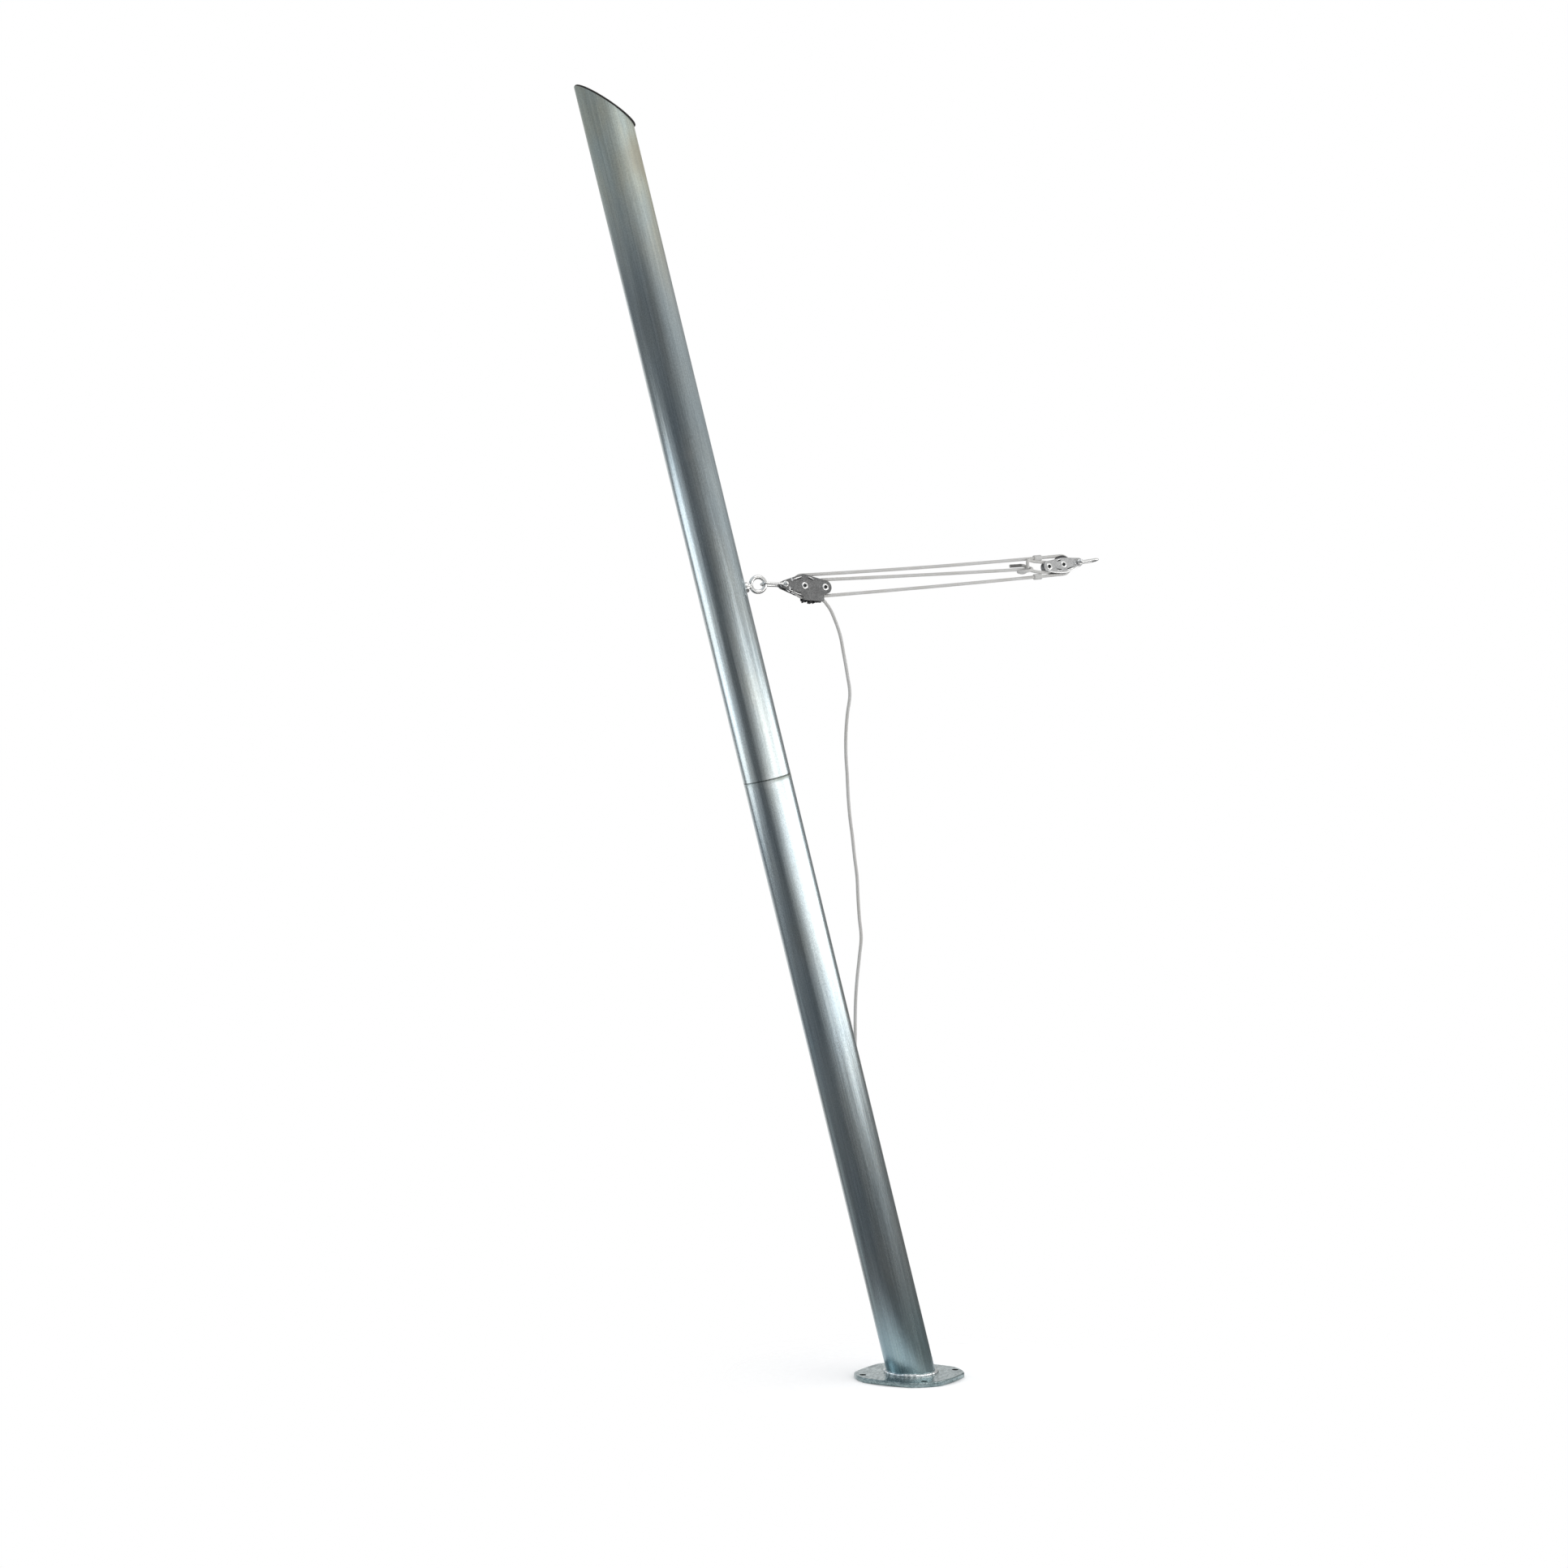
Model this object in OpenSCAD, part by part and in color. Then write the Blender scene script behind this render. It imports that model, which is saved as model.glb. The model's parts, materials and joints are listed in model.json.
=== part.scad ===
// Shade sail mast: a leaning two-part tube on a welded base plate, with a ring eye that holds a rope tackle.
//
// Frame: millimetres, +Z up, origin at the centre of the base plate's underside. The mast leans
// towards -X and the tackle runs out towards +X. Lengths along the mast are measured on its axis,
// from its foot. Inside tackle_frame() +X runs along the tackle, away from the mast.

/* [Mast] */
// Outer diameter of the tube
tube_od = 114.3; // [88.9:0.1:139.7]
// Wall of the tube
tube_wall = 3.6; // [2.5:0.1:6]
// Length along the axis, from the foot to the middle of the slanted top cut
mast_length = 3088; // [2700:10:3700]
// Height along the axis of the joint between the two tubes
joint_height = 1480; // [1200:10:1700]
// Lean of the mast from the vertical, degrees
mast_lean = 14.1; // [0:0.1:20]
// Distance of the mast's foot from the centre of the plate, towards the tackle
foot_offset = 8; // [0:0.5:20]
// Angle between the top cut and a square cut, degrees
cut_angle = 46; // [0:1:50]
// Length of the sleeve inside the joint
sleeve_length = 400; // [200:10:600]
// Wall of the sleeve inside the joint
sleeve_wall = 4; // [3:0.5:8]
// Bevel on the two tube ends that meet at the joint
joint_bevel = 1; // [0.5:0.25:2]

/* [Top cap] */
// Thickness of the cap's cover
cap_thickness = 5; // [3:0.5:12]
// How far the cover stands out past the tube
cap_overhang = 1.5; // [0:0.5:5]
// Depth of the plug that grips inside the tube
cap_plug_depth = 25; // [10:1:60]
// Wall of the plug
cap_plug_wall = 4; // [2:0.5:8]

/* [Base plate] */
// Thickness of the plate
plate_thickness = 12; // [8:1:20]
// Radius of the plate at its blunt corners
plate_corner_radius = 132; // [125:1:160]
// Distance from the centre to the middle of a side
plate_side_distance = 121; // [105:1:125]
// Radius of each bowed side
plate_side_radius = 500; // [250:10:700]
// Diameter of the circle that the bolt holes lie on
bolt_circle = 232; // [210:1:236]
// Diameter of each bolt hole
bolt_hole = 16; // [12:0.5:18]
// Leg of the weld between tube and plate
weld_leg = 7; // [4:0.5:12]

/* [Ring eye] */
// Height of the ring eye along the mast's axis
eye_height = 1929; // [1600:1:2600]
// Diameter of the ring's bar
ring_bar = 10; // [8:0.5:14]
// Inside diameter of the ring
ring_inside = 25; // [22:0.5:35]
// Distance from the tube's surface to the middle of the ring
ring_stand_off = 32.5; // [28:0.5:50]
// Diameter of the collar that seats on the tube
collar_d = 25; // [20:0.5:40]
// Height of the collar
collar_h = 7; // [5:0.5:12]
// Diameter of the stud through the tube wall
stud_d = 10; // [8:0.5:12]
// Width across the flats of the nut inside the tube
nut_flats = 17; // [15:0.5:22]
// Height of the nut
nut_h = 8; // [5:0.5:12]

/* [Tackle direction] */
// Turn of the tackle about the vertical, out of the plane that the mast leans in, degrees
tackle_yaw = 11.3; // [0:0.1:20]
// Rise of the tackle away from the mast, degrees
tackle_pitch = 3.2; // [0:0.1:10]
// Roll of the tackle about its own line, degrees
tackle_roll = 10; // [0:1:15]
// Droop of the first shackle against the tackle's line, degrees
shackle_droop = 4.6; // [0:0.1:10]
// Droop of the first block about its shackle pin, degrees
first_droop = 6.2; // [0:0.1:10]
// Rise of the second block against the tackle's line, degrees
second_rise = 5; // [0:0.5:10]
// Distance along the tackle from the ring to the second block's sheave
tackle_reach = 820; // [600:1:1200]
// Height of the second block's sheave above the tackle's line
tackle_rise = 13.5; // [0:0.5:30]

/* [Rope] */
// Diameter of the rope
rope_d = 8; // [6:0.5:8]
// Length of each whipping on the rope
whipping_length = 22; // [10:1:40]
// Wall of each whipping
whipping_wall = 3.4; // [1:0.1:4]
// Distance from the top strand's whipping to the second block's end of the strand
top_whipping_place = 56; // [45:1:120]
// Distance from the bottom strand's whipping to the second block's end of the strand
bottom_whipping_place = 64; // [45:1:120]

/* [Shackles] */
// Diameter of a shackle's rod
shackle_rod = 6; // [5:0.5:6]
// Distance from the ring's bar to the pin of the first shackle
first_shackle_length = 47.5; // [40:1:70]
// Distance from the middle of what it holds to the pin of the second shackle
second_shackle_length = 48; // [34:1:70]
// Diameter of a shackle's pin
shackle_pin_d = 6; // [5:0.5:8]
// Diameter of the ears that hold the pin
ear_d = 14; // [12:0.5:18]

/* [Blocks] */
// Gap between a block's two cheeks
block_gap = 14; // [13:0.5:20]
// Thickness of a cheek
cheek_t = 2; // [1.5:0.25:3]
// Width of a sheave
sheave_w = 11; // [10:0.25:12.5]
// Rope-centre radius of the first block's large sheave
large_radius = 27; // [26:0.5:30]
// Rope-centre radius of the first block's small sheave
small_radius = 19.5; // [17:0.5:20.5]
// Rope-centre radius of the second block's sheave
far_radius = 23; // [20:0.5:25]
// Distance from the first block's pin to its large sheave
first_pin_to_large = 52.5; // [50:0.5:70]
// Distance between the first block's two sheaves
first_spacing = 54.5; // [53:0.5:60]
// Distance from the second block's sheave to its shackle pin
second_pin_distance = 45.5; // [44:0.5:60]
// Distance from the second block's sheave to its becket
becket_distance = 42; // [41:0.5:55]
// Outer radius of a tubular axle
axle_radius = 6.5; // [6:0.1:8]
// Bore radius of a tubular axle
axle_bore = 4.25; // [3:0.05:5]
// Radius of the rolled rim at each end of an axle
axle_rim_radius = 8.2; // [7.5:0.1:9.5]
// Height of that rim above the cheek
axle_rim_h = 1.2; // [0.8:0.1:2]

/* [Hidden] */
$fn = 96;

// Clearances.
seat_gap = 0.3;        // between a solid and what it stays clear of
running_fit = 0.05;    // radial, where one piece turns on another
fixed_fit = 0.02;      // radial, where one piece is held in another
past = 1;              // how far a cut runs past the face it opens

tube_r = tube_od / 2;
tube_bore_r = tube_r - tube_wall;
rope_r = rope_d / 2;

// Ring eye, in the mast's frame: x across the axis towards the tackle, z along the axis.
ring_mid_r = (ring_inside + ring_bar) / 2;
ring_x = tube_r + ring_stand_off;
stud_end = tube_bore_r - nut_h - 4;

// The tackle hangs on the ring's bar, at this point.
ring_centre = [foot_offset + ring_x * cos(mast_lean) - eye_height * sin(mast_lean), 0,
               ring_x * sin(mast_lean) + eye_height * cos(mast_lean)];
ring_link = ring_centre + ring_mid_r * [cos(tackle_pitch), 0, sin(tackle_pitch)];

// Shackles: the ears stand outside the block's cheeks and the bow is as wide as they are.
block_half = block_gap / 2 + cheek_t;
ear_t = 5;
link_gap = 1;          // between the shackle's bow and the ring's bar
ear_gap = 1;           // between an ear and the cheek beside it
bow_radius = block_half + ear_gap + ear_t / 2;
pin_head_d = 10;
pin_nut_d = 9;
pin_nut_h = 4;
bush_radius = 6.2;

// First block, in its own frame: origin at the shackle pin, +X towards the second block.
large_x = first_pin_to_large;
small_x = large_x + first_spacing;
first_head_r = 9.5;
first_belly = [large_x - 2, -10];
first_shoulder_r = 11;
first_shoulder = [large_x - 3, large_radius - 10];
first_end_r = 16.5;
jam_bottom = -large_radius - 8;
jam_corner_r = 2.5;
jam_left = large_x - 5;
jam_right = small_x - 4;
jam_exit = [jam_right + 0.5, -large_radius - 3];   // where the rope leaves the jam
jam_strip_from = -1; // along the rope, from where it leaves the large sheave
jam_teeth_from = 12;
jam_tooth_pitch = 4;
jam_tooth_count = 7;
jam_tooth_h = 1;
jam_strip_t = 1.5;
// Lugs under the jam's strip: where each starts along the rope, its width and its drop.
jam_lugs = [[-0.5, 1.8, 5.6], [7.6, 1.8, 3], [14.4, 7, 5.2], [27.4, 1.8, 4]];
spacer_r = 2.6;
rivet_head_r = 3.5;
rivet_head_h = 0.8;
first_spacer_places = [[large_x - 34, 12.5], [large_x - 40, -8.5]];

// Slots through each cheek, each from one end to the other.
slot_r = 1.1;
first_slots = [[[large_x - 26, 12], [large_x - 9, 18.2]], [[large_x + 11, 19.2], [large_x + 21, 15.2]],
               [[large_x - 40, -10], [large_x - 32, -13.2]], [[large_x - 27, -15.2], [large_x - 12, -19.6]]];

// Second block, in its own frame: origin at its sheave, +X away from the mast.
second_head_r = 10.5;
second_end_r = 14.5;
second_cheek_r = far_radius - 3;
second_cheek_middle = [0, -3];
becket_bush_r = 7.7;
becket_radius = becket_bush_r + rope_r + seat_gap;
second_spacer_place = [second_pin_distance - 13, 0];
second_slots = [[[-15.3, 10.4], [-7, 11.7]], [[-21, -9], [-10, -12.2]], [[8, -12.6], [25, -9.2]]];

// Places on the tackle's line, in the tackle's own frame (x along it, z up).
first_pin = first_shackle_length * [cos(shackle_droop), -sin(shackle_droop)];
large_centre = first_pin + large_x * [cos(first_droop), -sin(first_droop)];
small_centre = first_pin + small_x * [cos(first_droop), -sin(first_droop)];
far_centre = [tackle_reach, tackle_rise];
becket_centre = far_centre - becket_distance * [cos(second_rise), sin(second_rise)];
second_pin = far_centre + second_pin_distance * [cos(second_rise), sin(second_rise)];

// Knot on the becket, and the rope's short end.
knot_centre = becket_centre - [66.5, 1];
knot_r = 9.5;
knot_half_length = 8;
stub_length = 31;
stub_rise = 4;         // degrees by which the short end diverges from the strand below it
leg_spread = 3.5;
knot_way_in = knot_centre - [0, 3];
stub_foot = knot_way_in + [0, rope_d + seat_gap];

// Directions of the strands. A strand touches two circles on the same side.
function heading(a, b) = atan2(b[1] - a[1], b[0] - a[0]);
function span(a, b) = norm(b - a);
function tangent(a, ra, b, rb, side) = heading(a, b) - side * asin((ra - rb) / span(a, b));
function rim_point(c, r, angle) = c + r * [cos(angle), sin(angle)];

top_angle = tangent(large_centre, large_radius, far_centre, far_radius, 1);
bottom_angle = tangent(small_centre, small_radius, far_centre, far_radius, -1);
middle_angle = tangent(small_centre, small_radius, knot_way_in, 0, 1);

// Hanging tail of the rope, from the jam down to its bare end behind the mast.
tail_points = [[-210.8, 21.2, 1857.8], [-206, 24, 1855.5], [-199, 28, 1849], [-184, 32, 1828],
               [-164, 36, 1780], [-153, 39, 1732], [-143, 43, 1684], [-135, 47, 1636], [-140, 51, 1587],
               [-143, 53, 1539], [-142, 56, 1490], [-138, 59, 1442], [-135, 61, 1393], [-130, 64, 1344],
               [-123, 66, 1296], [-117, 68, 1247], [-110, 70, 1198], [-107, 72, 1149], [-103, 74, 1100],
               [-98, 75, 1051], [-102, 77, 1003], [-107, 78, 954], [-110, 80, 905], [-111, 81, 856],
               [-111, 81, 807], [-112, 82, 756]];
tail_rings = 72;
tail_sides = 10;

module mast_frame() {
    translate([foot_offset, 0, 0]) rotate([0, -mast_lean, 0]) children();
}

// Removes all that lies below the height z of the origin's frame.
module above(z) {
    reach = 2 * mast_length;
    difference() {
        children();
        translate([-reach / 2, -reach / 2, z - reach]) cube(reach);
    }
}

// A layer of the top cut's plane: thickness t, its lower face d above the cut.
module cut_layer(d, t) {
    reach = 8 * tube_r;
    translate([0, 0, mast_length]) rotate([0, cut_angle, 0])
        translate([-reach / 2, -reach / 2, d]) cube([reach, reach, t]);
}

module tackle_frame() {
    translate(ring_link) rotate([0, 0, tackle_yaw]) rotate([0, -tackle_pitch, 0])
        rotate([-tackle_roll, 0, 0]) children();
}

// Places what is drawn in the tackle's X-Z plane at p, turned by angle in that plane.
module on_tackle(p, angle = 0) {
    tackle_frame() translate([p[0], 0, p[1]]) rotate([0, -angle, 0]) children();
}

module first_block_frame() {
    on_tackle(first_pin, -first_droop) children();
}

module second_block_frame() {
    on_tackle(far_centre, second_rise) children();
}

// A cylinder along Y with its middle at [x, 0, z].
module cross_cylinder(r, length, x = 0, z = 0) {
    translate([x, 0, z]) rotate([90, 0, 0]) cylinder(r = r, h = length, center = true);
}

// A straight piece of rope from a, in the direction of angle.
module strand(a, angle, length) {
    on_tackle(a, angle) rotate([0, 90, 0]) cylinder(r = rope_r, h = length);
}

// Rope round a sheave, between two angles of its rim.
module rope_turn(c, r, from, to) {
    on_tackle(c, from) rotate([90, 0, 0]) rotate_extrude(angle = to - from)
        translate([r, 0]) circle(r = rope_r);
}

// ---------------------------------------------------------------- mast

module plate_outline() {
    intersection() {
        circle(r = plate_corner_radius);
        intersection_for (side = [45:90:315])
            rotate(side) translate([plate_side_distance - plate_side_radius, 0])
                circle(r = plate_side_radius, $fn = 180);
    }
}

module base_plate() {
    color([0.60, 0.65, 0.67]) difference() {
        linear_extrude(plate_thickness) plate_outline();
        for (corner = [0:90:270])
            rotate(corner) translate([bolt_circle / 2, 0, -past])
                cylinder(d = bolt_hole, h = plate_thickness + 2 * past);
    }
}

module base_weld() {
    steps = 3;
    color([0.80, 0.83, 0.85]) difference() {
        for (i = [0:steps - 1])
            intersection() {
                mast_frame() cylinder(r = tube_r + weld_leg * (steps - i) / steps, h = 8 * tube_r, center = true);
                translate([-3 * tube_r, -3 * tube_r, plate_thickness])
                    cube([6 * tube_r, 6 * tube_r, weld_leg * (i + 1) / steps]);
            }
        mast_frame() cylinder(r = tube_r, h = 10 * tube_r, center = true);
    }
}

// A length of tube along the mast's axis, with a bevel at one end.
module tube_length(from, to, bevel_from, bevel_to) {
    rotate_extrude() polygon([[tube_bore_r, from], [tube_r - bevel_from, from], [tube_r, from + bevel_from],
                              [tube_r, to - bevel_to], [tube_r - bevel_to, to], [tube_bore_r, to]]);
}

module lower_tube() {
    color([0.58, 0.63, 0.65]) above(plate_thickness) mast_frame()
        tube_length(-2 * tube_r, joint_height, 0, joint_bevel);
}

module joint_sleeve() {
    sleeve_r = tube_bore_r - seat_gap;
    color([0.55, 0.58, 0.60]) mast_frame() translate([0, 0, joint_height - sleeve_length / 2])
        difference() {
            cylinder(r = sleeve_r, h = sleeve_length);
            translate([0, 0, -past]) cylinder(r = sleeve_r - sleeve_wall, h = sleeve_length + 2 * past);
        }
}

module upper_tube() {
    color([0.58, 0.63, 0.65]) mast_frame() difference() {
        tube_length(joint_height, mast_length + 3 * tube_r, joint_bevel, 0);
        cut_layer(0, 12 * tube_r);
        translate([tube_r, 0, eye_height]) rotate([0, 90, 0])
            cylinder(r = stud_d / 2 + fixed_fit, h = 4 * tube_wall, center = true);
    }
}

module top_cap() {
    plug_r = tube_bore_r - seat_gap;
    color([0.13, 0.12, 0.12]) mast_frame() {
        intersection() {
            translate([0, 0, mast_length - 4 * tube_r]) cylinder(r = tube_r + cap_overhang, h = 8 * tube_r);
            cut_layer(0, cap_thickness);
        }
        intersection() {
            translate([0, 0, mast_length - 4 * tube_r]) difference() {
                cylinder(r = plug_r, h = 8 * tube_r);
                translate([0, 0, -past]) cylinder(r = plug_r - cap_plug_wall, h = 8 * tube_r + 2 * past);
            }
            cut_layer(-cap_plug_depth, cap_plug_depth + cap_thickness / 2);
        }
    }
}

// ---------------------------------------------------------------- ring eye

module ring_eye() {
    neck_r = ring_bar / 2 + 0.8;
    color([0.78, 0.79, 0.80]) mast_frame() translate([0, 0, eye_height]) {
        translate([ring_x, 0, 0]) rotate([90, 0, 0]) rotate_extrude()
            translate([ring_mid_r, 0]) circle(d = ring_bar);
        difference() {
            translate([tube_r - 0.6, 0, 0]) rotate([0, 90, 0]) cylinder(d = collar_d, h = collar_h);
            cylinder(r = tube_r, h = 2 * collar_d, center = true);
        }
        translate([tube_r + collar_h - past, 0, 0]) rotate([0, 90, 0])
            cylinder(r = neck_r, h = ring_stand_off - collar_h - ring_mid_r + past);
        translate([stud_end, 0, 0]) rotate([0, 90, 0]) cylinder(d = stud_d, h = tube_r - stud_end + past);
    }
}

module eye_nut() {
    color([0.70, 0.71, 0.72]) mast_frame() translate([tube_bore_r - nut_h - 1, 0, eye_height]) rotate([0, 90, 0])
        difference() {
            cylinder(d = nut_flats / cos(30), h = nut_h, $fn = 6);
            translate([0, 0, -past]) cylinder(r = stud_d / 2 + fixed_fit, h = nut_h + 2 * past);
        }
}

// ---------------------------------------------------------------- shackles

// A long shackle that hangs on a bar of ring_bar through the origin, with its pin at +X.
module shackle(length) {
    bow_x = bow_radius - (ring_bar + shackle_rod) / 2 - link_gap;
    color([0.74, 0.75, 0.76]) difference() {
        union() {
            translate([bow_x, 0, 0]) rotate([0, 0, 90]) rotate_extrude(angle = 180)
                translate([bow_radius, 0]) circle(d = shackle_rod);
            for (side = [-1, 1]) {
                translate([bow_x, side * bow_radius, 0]) rotate([0, 90, 0])
                    cylinder(d = shackle_rod, h = length - bow_x - ear_d / 4);
                translate([length, side * bow_radius, 0]) cross_cylinder(ear_d / 2, ear_t);
            }
        }
        cross_cylinder(shackle_pin_d / 2 + fixed_fit, 6 * block_half, length);
    }
}

// The shackle's pin, along Y at the origin: a ball head on the near side and a nut on the far side.
module shackle_pin() {
    outer = bow_radius + ear_t / 2;
    ball_r = pin_head_d / 2;
    color([0.66, 0.67, 0.68]) rotate([90, 0, 0]) rotate_extrude() {
        translate([0, -outer - pin_nut_h]) square([shackle_pin_d / 2, 2 * outer + pin_nut_h + 1]);
        translate([0, -outer - pin_nut_h]) square([pin_nut_d / 2, pin_nut_h]);
        intersection() {
            translate([0, outer + ball_r - 1]) circle(r = ball_r);
            translate([0, outer]) square(pin_head_d);
        }
    }
}

module first_shackle() {
    tackle_frame() rotate([0, shackle_droop, 0]) shackle(first_shackle_length);
}

module first_shackle_pin() {
    on_tackle(first_pin) shackle_pin();
}

module second_shackle() {
    on_tackle(second_pin + [second_shackle_length, 0], 180) shackle(second_shackle_length);
}

module second_shackle_pin() {
    on_tackle(second_pin) shackle_pin();
}

// ---------------------------------------------------------------- first block

// One cheek's outline, in the block's X-Z plane.
module first_cheek_outline() {
    hull() {
        circle(r = first_head_r, $fn = 32);
        translate(first_shoulder) circle(r = first_shoulder_r, $fn = 32);
        translate([small_x, 0]) circle(r = first_end_r, $fn = 32);
        translate(first_belly) circle(r = first_end_r, $fn = 32);
    }
    hull()
        for (x = [jam_left, jam_right], z = [jam_bottom, -jam_corner_r])
            translate([x + (x == jam_left ? 1 : -1) * jam_corner_r, z + jam_corner_r])
                circle(r = jam_corner_r, $fn = 24);
}

// A cheek's slots, in the same plane.
module slots(places) {
    for (ends = places) hull() for (p = ends) translate(p) circle(r = slot_r, $fn = 24);
}

module first_cheek(side) {
    color([0.50, 0.52, 0.54]) first_block_frame() difference() {
        translate([0, side * (block_gap / 2 + cheek_t / 2), 0]) rotate([90, 0, 0])
            linear_extrude(cheek_t, center = true) difference() {
                first_cheek_outline();
                slots(first_slots);
            }
        cross_cylinder(shackle_pin_d / 2 + running_fit, 4 * block_half);
        cross_cylinder(axle_radius + fixed_fit, 4 * block_half, large_x);
        cross_cylinder(axle_radius + fixed_fit, 4 * block_half, small_x);
        for (p = first_spacer_places) cross_cylinder(spacer_r + fixed_fit, 4 * block_half, p[0], p[1]);
    }
}

module first_near_cheek() { first_cheek(-1); }
module first_far_cheek() { first_cheek(1); }

module first_head_bush() {
    color([0.72, 0.73, 0.74]) first_block_frame() difference() {
        cross_cylinder(bush_radius, block_gap);
        cross_cylinder(shackle_pin_d / 2 + running_fit, block_gap + 2 * past);
    }
}

// A riveted spacer between the cheeks, with a head on each outer face.
module spacer(p) {
    cross_cylinder(spacer_r, 2 * block_half, p[0], p[1]);
    for (side = [-1, 1])
        translate([0, side * (block_half + rivet_head_h / 2), 0])
            cross_cylinder(rivet_head_r, rivet_head_h, p[0], p[1]);
}

module first_spacers() {
    color([0.74, 0.75, 0.76]) first_block_frame()
        for (p = first_spacer_places) spacer(p);
}

// Toothed strip between the cheeks that grips the rope, with lugs along its underside.
module jam_teeth() {
    top = -rope_r - seat_gap;
    root = top - jam_tooth_h;
    under = root - jam_strip_t;
    teeth_to = jam_teeth_from + jam_tooth_count * jam_tooth_pitch;
    teeth = [for (i = [0:jam_tooth_count - 1]) let (x = jam_teeth_from + i * jam_tooth_pitch)
        each [[x, root], [x + 0.8 * jam_tooth_pitch, top]]];
    lugs = [for (i = [len(jam_lugs) - 1:-1:0]) let (from = jam_lugs[i][0], to = from + jam_lugs[i][1])
        each [[to, under], [to, under - jam_lugs[i][2]], [from, under - jam_lugs[i][2]], [from, under]]];
    color([0.30, 0.31, 0.32]) jam_frame() rotate([90, 0, 0]) linear_extrude(block_gap, center = true)
        polygon(concat([[jam_strip_from, under], [jam_strip_from, root]], teeth,
                       [[teeth_to, root], [teeth_to, under]], lugs));
}

// A tubular axle with a rolled rim against each cheek.
module tube_axle(body_r = axle_radius) {
    difference() {
        union() {
            cross_cylinder(axle_radius, 2 * block_half);
            if (body_r > axle_radius) cross_cylinder(body_r, block_gap);
            for (side = [-1, 1])
                translate([0, side * (block_half + axle_rim_h / 2), 0]) cross_cylinder(axle_rim_radius, axle_rim_h);
        }
        cross_cylinder(axle_bore, 3 * block_half);
    }
}

module large_axle() {
    color([0.86, 0.87, 0.88]) first_block_frame() translate([large_x, 0, 0]) tube_axle();
}

module small_axle() {
    color([0.86, 0.87, 0.88]) first_block_frame() translate([small_x, 0, 0]) tube_axle();
}

// A grooved wheel about Y for a rope whose centre runs at radius r.
module sheave(r, rim) {
    groove = rope_r + seat_gap;
    color([0.16, 0.16, 0.17]) rotate([90, 0, 0]) rotate_extrude() difference() {
        translate([axle_radius + running_fit, -sheave_w / 2]) square([rim - axle_radius - running_fit, sheave_w]);
        translate([r, 0]) circle(r = groove);
    }
}

module large_sheave() {
    first_block_frame() translate([large_x, 0, 0]) sheave(large_radius, large_radius);
}

module small_sheave() {
    first_block_frame() translate([small_x, 0, 0]) sheave(small_radius, first_end_r - 0.5);
}

// ---------------------------------------------------------------- second block

module second_cheek_outline() {
    hull() {
        translate(second_cheek_middle) circle(r = second_cheek_r, $fn = 64);
        translate([second_pin_distance, 0]) circle(r = second_head_r, $fn = 32);
        translate([-becket_distance, 0]) circle(r = second_end_r, $fn = 32);
    }
}

module second_cheek(side) {
    color([0.52, 0.54, 0.55]) second_block_frame() difference() {
        translate([0, side * (block_gap / 2 + cheek_t / 2), 0]) rotate([90, 0, 0])
            linear_extrude(cheek_t, center = true) difference() {
                second_cheek_outline();
                slots(second_slots);
            }
        cross_cylinder(axle_radius + fixed_fit, 4 * block_half);
        cross_cylinder(axle_radius + fixed_fit, 4 * block_half, -becket_distance);
        cross_cylinder(shackle_pin_d / 2 + running_fit, 4 * block_half, second_pin_distance);
        cross_cylinder(spacer_r + fixed_fit, 4 * block_half, second_spacer_place[0], second_spacer_place[1]);
    }
}

module second_near_cheek() { second_cheek(-1); }
module second_far_cheek() { second_cheek(1); }

module second_head_bush() {
    color([0.72, 0.73, 0.74]) second_block_frame() translate([second_pin_distance, 0, 0]) difference() {
        cross_cylinder(bush_radius, block_gap);
        cross_cylinder(shackle_pin_d / 2 + running_fit, block_gap + 2 * past);
    }
}

module second_spacers() {
    color([0.74, 0.75, 0.76]) second_block_frame() spacer(second_spacer_place);
}

module becket_axle() {
    color([0.86, 0.87, 0.88]) second_block_frame() translate([-becket_distance, 0, 0]) tube_axle(becket_bush_r);
}

module far_axle() {
    color([0.86, 0.87, 0.88]) second_block_frame() tube_axle();
}

module far_sheave() {
    second_block_frame() sheave(far_radius, far_radius);
}

// ---------------------------------------------------------------- rope

top_from = rim_point(large_centre, large_radius, 90 + top_angle);
bottom_from = rim_point(small_centre, small_radius, bottom_angle - 90);
middle_from = rim_point(small_centre, small_radius, 90 + middle_angle);
top_to = rim_point(far_centre, far_radius, 90 + top_angle);
bottom_to = rim_point(far_centre, far_radius, bottom_angle - 90);
jam_angle = tangent([large_x, 0], large_radius, jam_exit, 0, -1);
jam_from = rim_point([large_x, 0], large_radius, jam_angle - 90);

// Places what is drawn along +X on the rope's run through the jam.
module jam_frame() {
    first_block_frame() translate([jam_from[0], 0, jam_from[1]]) rotate([0, -jam_angle, 0]) children();
}

module knot_shape() {
    on_tackle(knot_centre) {
        rotate([0, 90, 0]) cylinder(r = knot_r, h = 2 * knot_half_length, center = true);
        for (side = [-1, 1]) translate([side * knot_half_length, 0, 0]) sphere(r = knot_r);
    }
}

module top_strand() {
    color([0.78, 0.79, 0.79]) strand(top_from, top_angle, span(top_from, top_to));
}

module bottom_strand() {
    color([0.78, 0.79, 0.79]) strand(bottom_from, bottom_angle, span(bottom_from, bottom_to));
}

module middle_strand() {
    color([0.78, 0.79, 0.79]) difference() {
        strand(middle_from, middle_angle, span(middle_from, knot_way_in));
        knot_shape();
    }
}

module large_turn() {
    color([0.78, 0.79, 0.79])
        rope_turn(large_centre, large_radius, 90 + top_angle, 270 + jam_angle - first_droop);
}

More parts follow.
